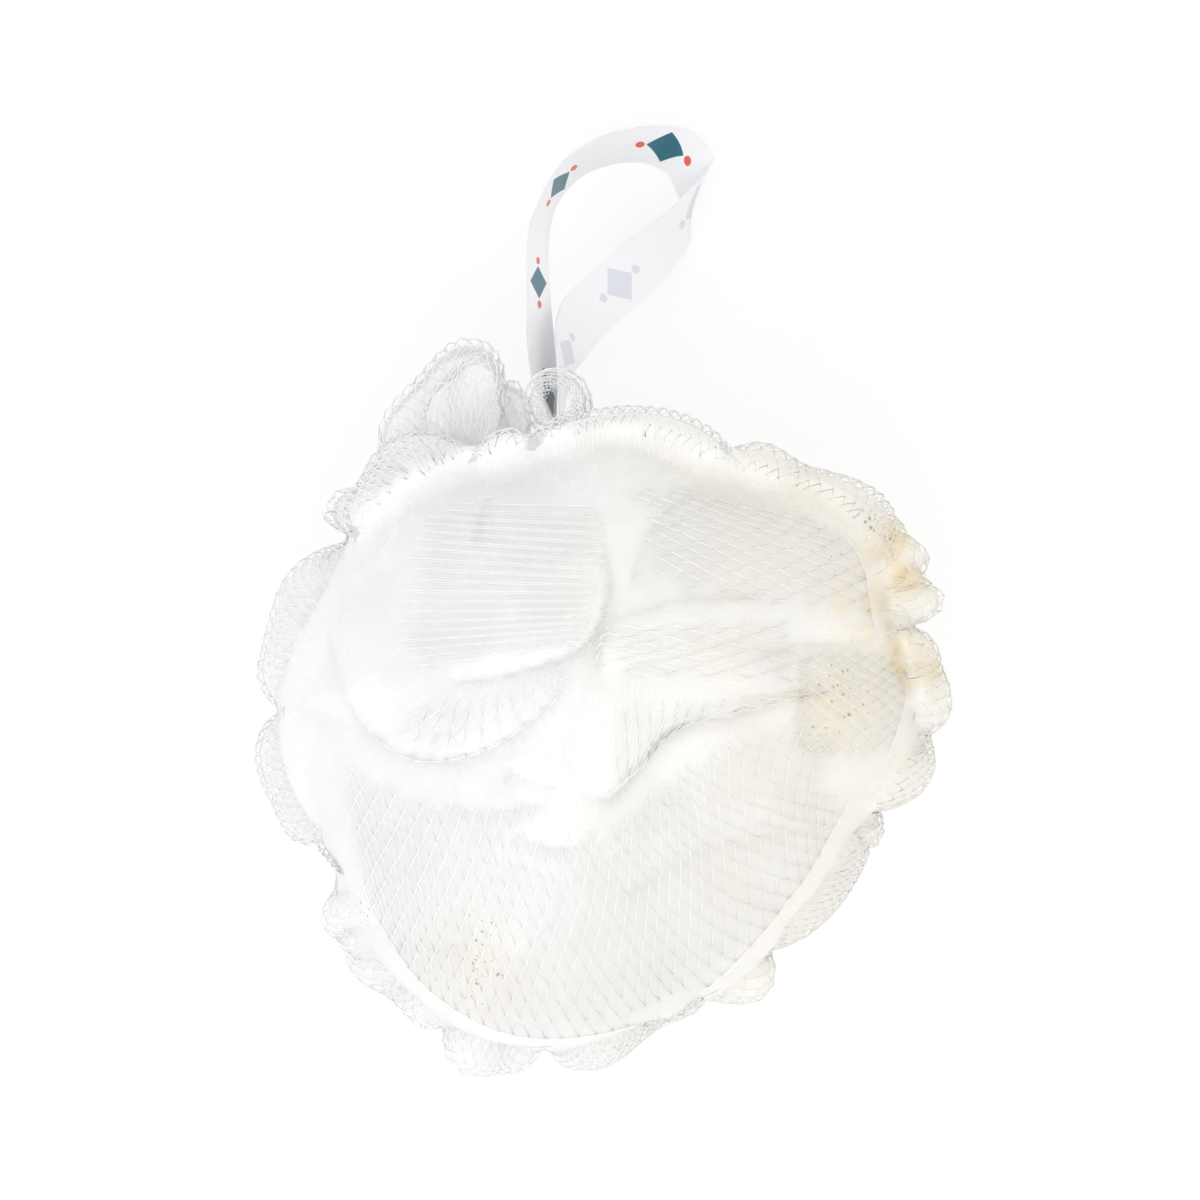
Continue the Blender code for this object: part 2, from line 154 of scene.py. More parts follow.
@dataclass
class Graph:
    """A material's node tree, with short calls to add to it."""

    tree: bpy.types.NodeTree
    flatten: tuple = (1.0, 1.0, 0.35)

    def add(self, kind: str, inputs: dict | None = None, **settings) -> bpy.types.Node:
        """Adds a node.

        Args:
            kind: the node's type.
            inputs: values or sockets by input name or number.
            settings: properties of the node.

        Returns:
            The new node.
        """
        node = self.tree.nodes.new(kind)
        for name, value in settings.items():
            setattr(node, name, value)
        for name, value in (inputs or {}).items():
            if isinstance(value, bpy.types.NodeSocket):
                self.tree.links.new(value, node.inputs[name])
            else:
                node.inputs[name].default_value = value
        return node

    def math(self, operation: str, *values) -> bpy.types.NodeSocket:
        """Adds a Math node and returns its result."""
        node = self.add("ShaderNodeMath", dict(enumerate(values)), operation=operation)
        return node.outputs[0]

    def blend(self, share: bpy.types.NodeSocket | float, first: bpy.types.NodeSocket | tuple,
              second: bpy.types.NodeSocket | tuple) -> bpy.types.NodeSocket:
        """Mixes two colours and returns the mixed one."""
        node = self.add("ShaderNodeMix", {"Factor": share}, data_type="RGBA")
        for number, value in ((6, first), (7, second)):
            if isinstance(value, bpy.types.NodeSocket):
                self.tree.links.new(value, node.inputs[number])
            else:
                node.inputs[number].default_value = (*value, 1)
        return node.outputs[2]

    def seen_directly(self) -> bpy.types.NodeSocket:
        """A mask that is 1 for what is seen straight, in a reflection or through something."""
        path = self.add("ShaderNodeLightPath")
        return self.math("MAXIMUM", path.outputs["Is Camera Ray"],
                         self.math("MAXIMUM", path.outputs["Is Glossy Ray"],
                                   path.outputs["Is Transmission Ray"]))

    def near(self, middle: tuple, reach: float) -> bpy.types.NodeSocket:
        """A mask that is 1 at a place and fades to 0.

        Args:
            middle: the place, in millimetres.
            reach: how far the mask reaches, in millimetres.

        Returns:
            The mask's socket.
        """
        place = self.add("ShaderNodeTexCoord").outputs["Object"]
        place = self.add("ShaderNodeVectorMath", {0: place, 1: self.flatten},
                         operation="MULTIPLY").outputs[0]
        spot = tuple(c * f * MM for c, f in zip(middle, self.flatten))
        away = self.add("ShaderNodeVectorMath", {0: place, 1: spot}, operation="DISTANCE")
        return self.add("ShaderNodeMapRange", {
            "Value": away.outputs["Value"], "From Min": 0.25 * reach * MM, "From Max": reach * MM,
            "To Min": 1.0, "To Max": 0.0,
        }, interpolation_type="SMOOTHSTEP").outputs[0]


def new_material(name: str) -> tuple[bpy.types.Material, Graph, bpy.types.Node]:
    """Starts a material.

    Args:
        name: the material's name.

    Returns:
        The material, its graph and its Principled shader.
    """
    material = bpy.data.materials.new(name)
    material.use_nodes = True
    graph = Graph(material.node_tree)
    return material, graph, material.node_tree.nodes["Principled BSDF"]


@dataclass(frozen=True)
class NetFinish:
    """Knitted white yarn, with the faint cream tint that the used net has in places. Where it has a line
    pitch it also gets painted shade: in the gaps between the yarns, in a grey band inside the rims and in
    dark spots for the open cells.
    """

    name: str
    white: tuple = (0.94, 0.94, 0.935)
    cream: tuple = (0.86, 0.76, 0.56)
    warm: tuple = (0.86, 0.83, 0.765)
    warm_from: float = -22.0
    warm_to: float = 62.0
    roughness: float = 0.45
    sheen: float = 0.15
    subsurface: float = 0.0
    scatter_mm: float = 1.0
    line_pitch: float = 0.0
    line_slope: float = 0.22
    # Painted shade: the gaps between the yarns are darkened to this share, for the deeper layers in shade.
    gap_shade: float = 0.97
    # Painted shade: how strongly, and in what grey, the band just inside the rims is darkened for the shade
    # inside the open fold.
    rim_shade_strength: float = 0.7
    inner_shade: tuple = (0.56, 0.56, 0.56)
    # Painted shade for the open cells, tinted with the net's cream discolouration; then its spot size, how
    # many spots there are and the zones where they go.
    hole_shade: tuple = (0.44, 0.41, 0.22)
    cell_scale: float = 640.0
    cell_room: float = 0.46
    open_cells: tuple = (
        ((47, 8, 88), 13), ((-25, -37, 88), 7), ((-24, -46, 84), 8), ((-26, -52, 74), 6),
        ((47, 37, 78), 5), ((55, 45, 66), 6), ((62, 34, 62), 5), ((-50, -35, 70), 5),
    )
    tints: tuple = (
        ((62, 38, 62), 13, 0.9), ((64, 16, 62), 12, 0.8), ((54, 28, 76), 14, 0.6),
        ((48, 8, 88), 14, 0.45), ((-25, -47, 84), 19, 0.2), ((-10, -50, 80), 18, 0.12),
        ((20, -60, 45), 10, 0.3),
    )

    def weave(self, graph: Graph, shader: bpy.types.Node,
              colour: bpy.types.NodeSocket) -> bpy.types.NodeSocket:
        """Draws the crossing yarns of the layers, by the net's own measures.

        Args:
            graph: the material's nodes.
            shader: its Principled shader, which gets the yarns' relief.
            colour: the colour of the yarns.

        Returns:
            The colour with painted shade in the gaps between the yarns, in a grey band inside the rims and
            in dark spots for the open cells.
        """
        marks = graph.add("ShaderNodeAttribute", attribute_name="weave").outputs["Vector"]
        place = graph.add("ShaderNodeTexCoord").outputs["Object"]
        drift = graph.add("ShaderNodeTexNoise", {"Vector": place, "Scale": 90.0}).outputs[0]
        parts = graph.add("ShaderNodeSeparateXYZ", {0: marks})
        across = graph.math("ADD", parts.outputs[0],
                            graph.math("MULTIPLY", drift, 2.2 * self.line_pitch))
        along = graph.math("MULTIPLY", parts.outputs[1], self.line_slope)
        lines = None
        for lean in ("ADD", "SUBTRACT"):
            turn = graph.math("MULTIPLY", graph.math(lean, across, along),
                              math.pi / self.line_pitch)
            swing = graph.math("ABSOLUTE", graph.math("SINE", turn))
            line = graph.add("ShaderNodeMapRange", {
                "Value": swing, "From Min": 0.1, "From Max": 0.6, "To Min": 1.0, "To Max": 0.0,
            }, interpolation_type="SMOOTHSTEP").outputs[0]
            lines = line if lines is None else graph.math("MAXIMUM", lines, line)
        bump = graph.add("ShaderNodeBump", {"Height": lines, "Strength": 0.35, "Distance": 0.0003})
        graph.tree.links.new(bump.outputs[0], shader.inputs["Normal"])
        # Painted shade in the gaps between the yarns.
        gaps = graph.blend(1 - self.gap_shade, colour, (0.0, 0.0, 0.0))
        colour = graph.blend(lines, gaps, colour)
        # Painted shade: a grey band inside the rims, read from the third weave mark, where the fold's
        # inside would lie in shade.
        band = graph.add("ShaderNodeMapRange", {
            "Value": parts.outputs[2], "From Min": -1.0, "From Max": -0.55,
        }, interpolation_type="SMOOTHSTEP").outputs[0]
        colour = graph.blend(graph.math("MULTIPLY", band, self.rim_shade_strength), colour,
                             self.inner_shade)
        zone = graph.near(*self.open_cells[0])
        for middle, reach in self.open_cells[1:]:
            zone = graph.math("MAXIMUM", zone, graph.near(middle, reach))
        # Dark spots of painted shade where the open cells show the shaded layers inside, tinted cream like
        # the used net.
        spots = graph.add("ShaderNodeTexVoronoi", {"Vector": place, "Scale": self.cell_scale})
        sparse = graph.add("ShaderNodeTexNoise", {"Vector": place, "Scale": 260.0}).outputs[0]
        room = graph.math("MULTIPLY", graph.math("MULTIPLY", zone, sparse), self.cell_room)
        hole = graph.add("ShaderNodeMapRange", {
            "Value": graph.math("SUBTRACT", spots.outputs["Distance"], room),
            "From Min": -0.06, "From Max": 0.06, "To Min": 1.0, "To Max": 0.0,
        }).outputs[0]
        hole = graph.math("MULTIPLY", hole, graph.math("GREATER_THAN", zone, 0.02))
        return graph.blend(hole, colour, self.hole_shade)

    def build(self) -> bpy.types.Material:
        """Makes the material, with the weave where it has a line pitch."""
        material, graph, shader = new_material(self.name)
        place = graph.add("ShaderNodeTexCoord").outputs["Object"]
        mask = None
        for middle, reach, strength in self.tints:
            spot = graph.math("MULTIPLY", graph.near(middle, reach), strength)
            mask = spot if mask is None else graph.math("MAXIMUM", mask, spot)
        cloud = graph.add("ShaderNodeTexNoise", {
            "Vector": place, "Scale": 170.0, "Detail": 3.0,
        }).outputs[0]
        cloud = graph.add("ShaderNodeMapRange", {
            "Value": cloud, "From Min": 0.36, "From Max": 0.62,
        }).outputs[0]
        share = graph.math("MULTIPLY", mask, cloud)
        drift = graph.add("ShaderNodeTexNoise", {"Vector": place, "Scale": 45.0}).outputs[0]
        dull = tuple(c * 0.97 for c in self.white)
        colour = graph.blend(graph.math("MULTIPLY", drift, 0.7), self.white, dull)
        aside = graph.add("ShaderNodeSeparateXYZ", {0: place}).outputs[0]
        warmth = graph.add("ShaderNodeMapRange", {
            "Value": aside, "From Min": self.warm_from * MM, "From Max": self.warm_to * MM,
        }, interpolation_type="SMOOTHSTEP").outputs[0]
        warmth = graph.math("MULTIPLY", warmth, graph.math("ADD", drift, 0.35))
        colour = graph.blend(warmth, colour, self.warm)
        if self.line_pitch:
            colour = self.weave(graph, shader, colour)
        colour = graph.blend(share, colour, self.cream)
        graph.tree.links.new(colour, shader.inputs["Base Color"])
        shader.inputs["Roughness"].default_value = self.roughness
        shader.inputs["Sheen Weight"].default_value = self.sheen
        if self.subsurface:
            shader.inputs["Subsurface Weight"].default_value = self.subsurface
            shader.inputs["Subsurface Radius"].default_value = (1, 1, 1)
            shader.inputs["Subsurface Scale"].default_value = self.scatter_mm * MM
        return material


@dataclass(frozen=True)
class SatinFinish:
    """White satin ribbon: a smooth printed face, a plain woven reverse."""

    length: float
    width: float
    motif_pitch: float = 0.0275
    ghost_shift: float = 0.0153
    motif_start: float = 0.0
    motif_half: float = 0.0043
    map_share: float = 0.96
    weft_pitch: float = 0.00042
    warp_pitch: float = 0.00035
    white: tuple = (0.84, 0.84, 0.86)
    teal: tuple = (0.010, 0.115, 0.165)
    coral: tuple = (0.72, 0.09, 0.05)
    ghost: tuple = (0.66, 0.68, 0.73)

    def build(self) -> bpy.types.Material:
        """Makes the material; the map's left half is the printed face, in metres by share."""
        material, graph, shader = new_material("white_satin")
        uv = graph.add("ShaderNodeUVMap", uv_map=BAKE_UV).outputs[0]
        parts = graph.add("ShaderNodeSeparateXYZ", {0: uv})
        across, along = parts.outputs[0], parts.outputs[1]
        reverse = graph.math("GREATER_THAN", across, 0.5)
        side = graph.math("FRACT", graph.math("MULTIPLY", across, 2.0))
        y = graph.math("MULTIPLY", graph.math("SUBTRACT", side, 0.5), self.width / self.map_share)
        s = graph.math("MULTIPLY", along, self.length)
        from_start = graph.math("SUBTRACT", s, self.motif_start)
        from_start = graph.math("SUBTRACT", from_start,
                                graph.math("MULTIPLY", reverse, self.ghost_shift))
        turn = graph.math("DIVIDE", from_start, self.motif_pitch)
        x = graph.math("MULTIPLY", graph.math("SUBTRACT", graph.math("FRACT", turn), 0.5),
                       self.motif_pitch)
        reach = graph.math("ADD", graph.math("ABSOLUTE", x), graph.math("ABSOLUTE", y))
        lozenge = graph.add("ShaderNodeMapRange", {
            "Value": reach, "From Min": self.motif_half - 0.0001,
            "From Max": self.motif_half + 0.0001, "To Min": 1.0, "To Max": 0.0,
        }).outputs[0]
        dot_x = graph.math("SUBTRACT", graph.math("ABSOLUTE", x), self.motif_half + 0.0014)
        dot = graph.add("ShaderNodeMapRange", {
            "Value": graph.math("ADD", graph.math("POWER", dot_x, 2.0), graph.math("POWER", y, 2.0)),
            "From Min": 0.0009 ** 2, "From Max": 0.0011 ** 2, "To Min": 1.0, "To Max": 0.0,
        }).outputs[0]
        printed = graph.blend(dot, graph.blend(lozenge, self.white, self.teal), self.coral)
        shown_through = graph.blend(graph.math("MAXIMUM", lozenge, dot), self.white, self.ghost)
        graph.tree.links.new(graph.blend(reverse, printed, shown_through),
                             shader.inputs["Base Color"])
        weft = graph.math("SINE", graph.math("MULTIPLY", s, math.tau / self.weft_pitch))
        warp = graph.math("SINE", graph.math("MULTIPLY", y, math.tau / self.warp_pitch))
        weave = graph.math("MULTIPLY", weft, warp)
        edge = graph.add("ShaderNodeMapRange", {
            "Value": graph.math("ABSOLUTE", y), "From Min": self.width * 0.45,
            "From Max": self.width * 0.47, "To Min": 0.0, "To Max": 3.0,
        }).outputs[0]
        height = graph.math("ADD", graph.math("MULTIPLY", weave,
                                              graph.math("ADD", reverse, 0.4)), edge)
        bump = graph.add("ShaderNodeBump", {"Height": height, "Strength": 0.3, "Distance": 0.00008})
        graph.tree.links.new(bump.outputs[0], shader.inputs["Normal"])
        rough = graph.math("ADD", graph.math("MULTIPLY", reverse, 0.22), 0.33)
        graph.tree.links.new(rough, shader.inputs["Roughness"])
        shader.inputs["Sheen Weight"].default_value = 0.2
        return material


@dataclass(frozen=True)
class CordFinish:
    """Plain white twisted cord."""

    white: tuple = (0.80, 0.80, 0.79)
    twist_mm: float = 1.1

    def build(self) -> bpy.types.Material:
        """Makes the material."""
        material, graph, shader = new_material("white_cord")
        place = graph.add("ShaderNodeTexCoord").outputs["Object"]
        wave = graph.add("ShaderNodeTexWave", {
            "Vector": place, "Scale": 1 / (self.twist_mm * MM) / 3, "Distortion": 1.5,
        }, bands_direction="DIAGONAL").outputs[1]
        bump = graph.add("ShaderNodeBump", {"Height": wave, "Strength": 0.5, "Distance": 0.0003})
        graph.tree.links.new(bump.outputs[0], shader.inputs["Normal"])
        # Painted shade: the twist's grooves, where the relief is low, are darkened.
        groove_shade = tuple(c * 0.8 for c in self.white)
        graph.tree.links.new(graph.blend(wave, groove_shade, self.white), shader.inputs["Base Color"])
        shader.inputs["Roughness"].default_value = 0.6
        return material


OUTLINE = (
    (0, 69), (14, 70), (22, 66), (31, 72), (39, 76), (49, 72), (61, 67), (67, 64), (77, 67),
    (88, 69), (104, 65), (126, 71), (139, 70), (151, 70), (165, 71), (180, 70), (189, 69),
    (198, 64), (206, 61), (214, 66), (224, 68), (234, 68), (244, 69), (252, 71), (259, 66),
    (268, 67), (278, 61), (291, 59), (303, 62), (309, 56), (322, 57), (335, 58), (347, 59),
    (355, 67), (360, 69),
)


def outline_reach(angle: np.ndarray) -> np.ndarray:
    """How far the pouf's outline reaches at angles in degrees, in millimetres."""
    angles, reaches = zip(*OUTLINE)
    return np.interp(np.asarray(angle) % 360, angles, reaches)


def eased(value: np.ndarray) -> np.ndarray:
    """A soft step from 0 to 1."""
    value = np.clip(value, 0, 1)
    return value * value * (3 - 2 * value)


@dataclass
class Crease:
    """One fold's edge on the face: the fold swells on its left and a hollow lies on its right.

    The line is in millimetres in the part's X and Y, and so are the other sizes.
    """

    name: str
    line: list[tuple[float, float]]
    lift: float
    reach: float
    hollow: float
    spread: float
    taper: float = 0.2
    rounding: float = 3.5
    step: float = 0.7

    def relief(self, x: np.ndarray, y: np.ndarray) -> np.ndarray:
        """Height that the fold adds at places, or takes away in its hollow.

        Args:
            x: places in millimetres.
            y: the same.

        Returns:
            Heights in millimetres.
        """
        line = smooth_curve(np.array(self.line, dtype=float), np.linspace(0, 1, 60))
        way = unit(np.gradient(line, axis=0))
        share = np.linspace(0, 1, len(line))
        height = np.zeros(x.shape)
        border = 2.2 * max(self.reach, self.spread)
        near = ((x > line[:, 0].min() - border) & (x < line[:, 0].max() + border)
                & (y > line[:, 1].min() - border) & (y < line[:, 1].max() + border))
        spots = np.stack((x[near], y[near]), axis=-1)
        off = spots[:, None] - line[None]
        far = np.linalg.norm(off, axis=-1)
        k = far.argmin(axis=1)
        rows = np.arange(len(k))
        turn = way[k, 0] * off[rows, k, 1] - way[k, 1] * off[rows, k, 0]
        away = np.copysign(far[rows, k], turn)
        ends = eased(np.minimum(share[k], 1 - share[k]) / self.taper)
        inside = np.clip(away, 0, None)
        raised = self.lift * np.tanh(inside / self.rounding) * np.exp(-(inside / self.reach) ** 2)
        sunk = -self.hollow * np.exp(-np.clip(-away, 0, None) / self.spread)
        blend = eased((away + self.step) / (2 * self.step))
        height[near] = ends * (blend * raised + (1 - blend) * sunk)
        return height


CREASES = [
    Crease("pillow", [(-35.5, 11.5), (-28.5, 13.5), (-20.5, 14.5), (-12.5, 16.5), (-6, 19),
                      (-2, 22.5), (0, 27), (1, 32.5), (0.5, 38.5), (-0.5, 43)], 2.4, 16, 2.2, 5.0),
    Crease("petal", [(-56.5, 32.5), (-55.5, 25.5), (-54, 17.5), (-51, 9), (-46.5, 2.5), (-39.5, -1.5),
                     (-30.5, -2), (-20.5, 1), (-10.5, 9), (-4, 17.5)], 2.6, 12, 1.8, 6.0),
    Crease("tongue", [(40, 28.5), (29, 29.5), (18, 29), (9, 27), (2, 24), (0, 19.5), (0.5, 14.5), (4, 9.5)],
           1.8, 10, 1.2, 4.5),
    Crease("fan", [(-8.5, -8), (0, -10), (3.5, -8.5), (7.5, -3.5), (11, 1.5), (17, 5), (32, 8), (46, 11.5)],
           1.8, 10, 2.0, 5.0),
    Crease("lip_high", [(-19.5, -3.5), (-16.5, -5.5), (-12.5, -7), (-6.5, -7.5)],
           1.6, 6, 1.4, 3.0),
    Crease("lip_low", [(-18, -16.5), (-14.5, -19), (-9.5, -20), (-3, -21)],
           1.5, 6, 1.4, 3.0),
    Crease("right_line", [(29, 19.5), (38, 20.5), (50, 21.5), (61.5, 22.5), (65.5, 23.5)],
           1.4, 9, 1.4, 3.5),
    Crease("lower_left_line", [(-50.5, -39), (-43.5, -40.5), (-34.5, -41), (-26.5, -40)],
           1.3, 8, 1.4, 4.0),
    Crease("top_soft", [(5.5, 29.5), (7, 37.5), (11, 45.5), (20, 54), (28, 57.5)],
           1.2, 12, 0.9, 7.0),
    Crease("low_soft", [(0, -32), (10, -27), (20, -21), (32, -18), (44, -17)],
           1.3, 12, 0.9, 7.0),
    Crease("bottom_soft", [(-32.5, -10.5), (-24.5, -13), (-16.5, -12), (-8.5, -10.5)],
           1.1, 9, 0.8, 6.0),
    Crease("left_soft", [(-26.5, 40.5), (-25.5, 44.5), (-24.5, 49), (-22, 52)],
           0.8, 8, 1.1, 3.0),
    Crease("upper_soft", [(-16.5, 59), (-8.5, 60), (4, 62), (16, 59)],
           0.9, 10, 0.7, 6.0),
]


@dataclass
class Face:
    """The pouf's broad front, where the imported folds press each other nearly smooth."""

    rise: float = 57.0
    squareness: float = 2.2
    share: float = 0.965
    inner_edge: float = 0.84
    outer_edge: float = 0.985
    grid_step: float = 0.5
    grid_from: tuple = (-78.0, -78.0)
    grid_to: tuple = (78.0, 90.0)
    pits: tuple = (
        (47.2, 8.4, 7.3, 9.3, 1.6), (-24.8, 44.7, 1.4, 3.2, 0.8), (56, 45.3, 4, 2.8, 2),
        (61.3, 40.1, 2.4, 2, 2),
    )
    ripples: tuple = ((0.055, 0.9), (0.13, 0.35))
    table: np.ndarray | None = None

    def reach(self, x: np.ndarray, y: np.ndarray) -> np.ndarray:
        """How far the face reaches in the direction of a place, in millimetres."""
        angle = np.degrees(np.arctan2(y, x))
        turns = (-8, -4, 0, 4, 8)
        return self.share * sum(outline_reach(angle + turn) for turn in turns) / len(turns)

    def relief(self, x: np.ndarray, y: np.ndarray) -> np.ndarray:
        """All the creases and soft ripples at places, in millimetres."""
        height = sum(crease.relief(x, y) for crease in CREASES)
        for scale, size in self.ripples:
            soft = [noise.noise(Vector((a * scale, b * scale, 7.3)))
                    for a, b in zip(x.ravel(), y.ravel())]
            height = height + size * np.array(soft).reshape(x.shape)
        return height

    def relief_at(self, x: np.ndarray, y: np.ndarray) -> np.ndarray:
        """Reads the relief from a fine table of it, which is made at the first call."""
        if self.table is None:
            across = np.arange(self.grid_from[0], self.grid_to[0], self.grid_step)
            up = np.arange(self.grid_from[1], self.grid_to[1], self.grid_step)
            self.table = self.relief(*np.meshgrid(across, up, indexing="ij"))
        place_x = np.clip((x - self.grid_from[0]) / self.grid_step, 0, self.table.shape[0] - 2)
        place_y = np.clip((y - self.grid_from[1]) / self.grid_step, 0, self.table.shape[1] - 2)
        i, j = place_x.astype(int), place_y.astype(int)
        s, t = place_x - i, place_y - j
        return ((1 - s) * (1 - t) * self.table[i, j] + s * (1 - t) * self.table[i + 1, j]
                + (1 - s) * t * self.table[i, j + 1] + s * t * self.table[i + 1, j + 1])

    def height(self, x: np.ndarray, y: np.ndarray, side: Side) -> np.ndarray:
        """Height of the face over the surface.

        Args:
            x: places in millimetres.
            y: the same.
            side: the yarn spans the pits, and the layers go down into them.

        Returns:
            Heights in millimetres, which fall to the ball's middle at the face's edge.
        """
        away = np.clip(np.hypot(x, y) / self.reach(x, y), 0, 1)
        dome = self.rise * (1 - away ** self.squareness) ** (1 / self.squareness)
        relief = self.relief_at(x, y)
        if side == Side.LAYERS:
            for px, py, wide, tall, deep in self.pits:
                relief = relief - deep * np.exp(-((x - px) / wide) ** 4 - ((y - py) / tall) ** 4)
        fade = 1 - eased((away - self.inner_edge) / (self.outer_edge - self.inner_edge))
        return BALL_MIDDLE[2] / MM + dome + relief * fade

    def inside(self, points: np.ndarray) -> np.ndarray:
        """How far points are inside the face: 1 well inside, 0 at its edge and below it."""
        x, y, z = (points[..., k] / MM for k in range(3))
        away = np.hypot(x, y) / self.reach(x, y)
        upper = eased((z - BALL_MIDDLE[2] / MM) / 10)
        return upper * (1 - eased((away - self.inner_edge) / (self.outer_edge - self.inner_edge)))

    def lay(self, points: np.ndarray, over: float, side: Side) -> np.ndarray:
        """Lays points onto the face.

        Args:
            points: places in metres, the last index being X, Y and Z.
            over: how far over the face the points lie, in millimetres; less than 0 is under it.
            side: the side of the face that they belong to.

        Returns:
            The same places, those inside the face moved straight up or down.
        """
        x, y, z = points[..., 0], points[..., 1], points[..., 2]
        height = (self.height(x / MM, y / MM, side) + over) * MM
        within = np.hypot(x, y) / MM < self.outer_edge * self.reach(x / MM, y / MM)
        free = np.minimum(z, height) if over < 0 else np.maximum(z, height)
        free = np.where(within & (z > BALL_MIDDLE[2] + 5 * MM), free, z)
        share = self.inside(points)
        target = free if over < 0 else height
        return np.stack((x, y, target * share + free * (1 - share)), axis=-1)


FACE = Face()


@dataclass
class Ruffle:
    """One fold of the netting tube, from its gathered base to its rim.

    Points are in millimetres in the part's frame. The swell lifts the middle outwards.
    """

    name: str
    base: Points
    rim: Points
    swell: float
    group: str
    waves: float = 2
    wave_height: float = 1.0
    pleats: int = 7
    pleat_height: float = 0.1
    start: float = 0.05
    wall: float = 4.6
    fullness: float = 0.9
    wrinkle: float = 0.35
    net_rise: float = 0.6
    net_under: float = -1.5
    slab_under: tuple = (-0.8, -3.0)
    row_closing: float = 1.25
    back_wall: float = 0.0007
    see_through: float = -0.8
    open_rim: float = 3.0
    crisp: bool = False

    def middle(self, u: np.ndarray, v: np.ndarray) -> np.ndarray:
        """The middle surface.

        Args:
            u: shares of the way from the base to the rim.
            v: shares of the way across.

        Returns:
            Points in metres, indexed by u and then v.
        """
        ends = np.array(self.base, dtype=float) * MM
        rim = smooth_curve(np.array(self.rim, dtype=float) * MM, v)
        foot = ends[0] + (ends[1] - ends[0]) * v[:, None]
        points = foot[None] * (1 - u[:, None, None]) + rim[None] * u[:, None, None]
        out = unit(points - BALL_MIDDLE)
        uu, vv = u[:, None], v[None]
        phase = len(self.name) * 1.7
        lift = self.swell * 4 * uu * (1 - uu)
        lift = lift + self.wave_height * uu ** 2 * np.sin(math.tau * self.waves * vv)
        pleat = np.sin(math.tau * self.pleats * vv + phase + 2.1 * np.sin(3 * vv + phase))
        lift = lift + self.pleat_height * pleat * np.sin(math.pi * np.clip(1 - uu, 0, 1)) * (1 - uu)
        soft = np.array([[noise.noise(Vector(p * 70)) + 0.5 * noise.noise(Vector(p * 180))
                          for p in row] for row in points])
        lift = lift + self.wrinkle * soft * np.sqrt(np.clip(uu, 0, 1))
        return points + out * lift[..., None] * MM

    def half_wall(self, u: np.ndarray, v: np.ndarray) -> np.ndarray:
        """Half the fold's thickness in metres, closing to nothing at its two sides."""
        across = np.abs(2 * v - 1)
        sides = np.sqrt(np.clip(1 - across ** 6, 0, 1))
        full = np.sin(math.pi * np.clip(u, 0, 1))[:, None] * (1 - across ** 2)[None]
        return self.wall / 2 * MM * (1 + self.fullness * full) * sides[None]

    @staticmethod
    def normals(points: np.ndarray) -> np.ndarray:
        """Directions square to a grid of points, on the side away from the ball's middle."""
        along = np.gradient(points, axis=0)
        across = np.gradient(points, axis=1)
        square = unit(np.cross(across, along))
        outward = float((square * unit(points - BALL_MIDDLE)).sum())
        return square if outward > 0 else -square

    def rim_length(self) -> float:
        """The rim's length in millimetres."""
        rim = smooth_curve(np.array(self.rim, dtype=float), np.linspace(0, 1, 60))
        return float(np.linalg.norm(np.diff(rim, axis=0), axis=1).sum())

    def reach_length(self) -> float:
        """The way from the base's middle to the rim's middle in millimetres."""
        rim = smooth_curve(np.array(self.rim, dtype=float), np.array([0.5]))[0]
        foot = (np.array(self.base[0]) + np.array(self.base[1])) / 2
        return float(np.linalg.norm(rim - foot))

    def net_depth(self) -> float:
        """Share of the reach where the round rim of the net starts."""
        return 1 - self.wall / 2 / self.reach_length()

    def heart_depth(self) -> float:
        """Share of the reach where the dense inner layers end."""
        return self.net_depth() - self.see_through / self.reach_length()

    def net_surface(self, rows: int, columns: int, back: float) -> np.ndarray:
        """The fold's skin: its front, round the rim and some way down its back.

        Args:
            rows: how many rows the front has.
            columns: how many columns of points go across.
            back: share of the fold's depth that the back reaches down.

        Returns:
            Points in metres, indexed by row and column.
        """
        v = np.linspace(0, 1, columns)
        closer = 1 - (1 - np.linspace(0, 1, rows)) ** self.row_closing
        u = self.start + (self.net_depth() - self.start) * closer
        middle = self.middle(u, v)
        normal = self.normals(middle)
        half = self.half_wall(u, v)[..., None]
        front = middle + normal * half
        outward = unit(middle[-1] - middle[-2])
        turns = np.linspace(0, math.pi, 5)[1:-1]
        fold = [middle[-1] + (normal[-1] * math.cos(t) + outward * math.sin(t)) * half[-1]
                for t in turns]
        last = u >= u[-1] - back
        under = (middle - normal * half)[last][::-1]
        skin = np.concatenate([front, np.array(fold), under])
        return FACE.lay(skin, self.net_under, Side.LAYERS)

    def heart_wall(self, u: np.ndarray, v: np.ndarray) -> np.ndarray:
        """Half the thickness of the fold's dense inside, a little under its outer net."""
        return np.maximum(self.half_wall(u, v) - self.net_rise * MM, self.back_wall)

    def slab(self, rows: int, columns: int) -> tuple:
        """A closed slab inside the fold, for the dense inner layers.

        Args:
            rows: rows of points from base to edge.
            columns: columns of points.

        Returns:
            The slab's two sheets of points, front and back.
        """
        v = np.linspace(0, 1, columns)
        u = np.linspace(0, self.heart_depth(), rows)
        middle = self.middle(u, v)
        normal = self.normals(middle)
        thick = self.heart_wall(u, v)[..., None]
        over, under = self.slab_under
        return (FACE.lay(middle + normal * thick, over, Side.LAYERS),
                FACE.lay(middle - normal * thick, under, Side.LAYERS))


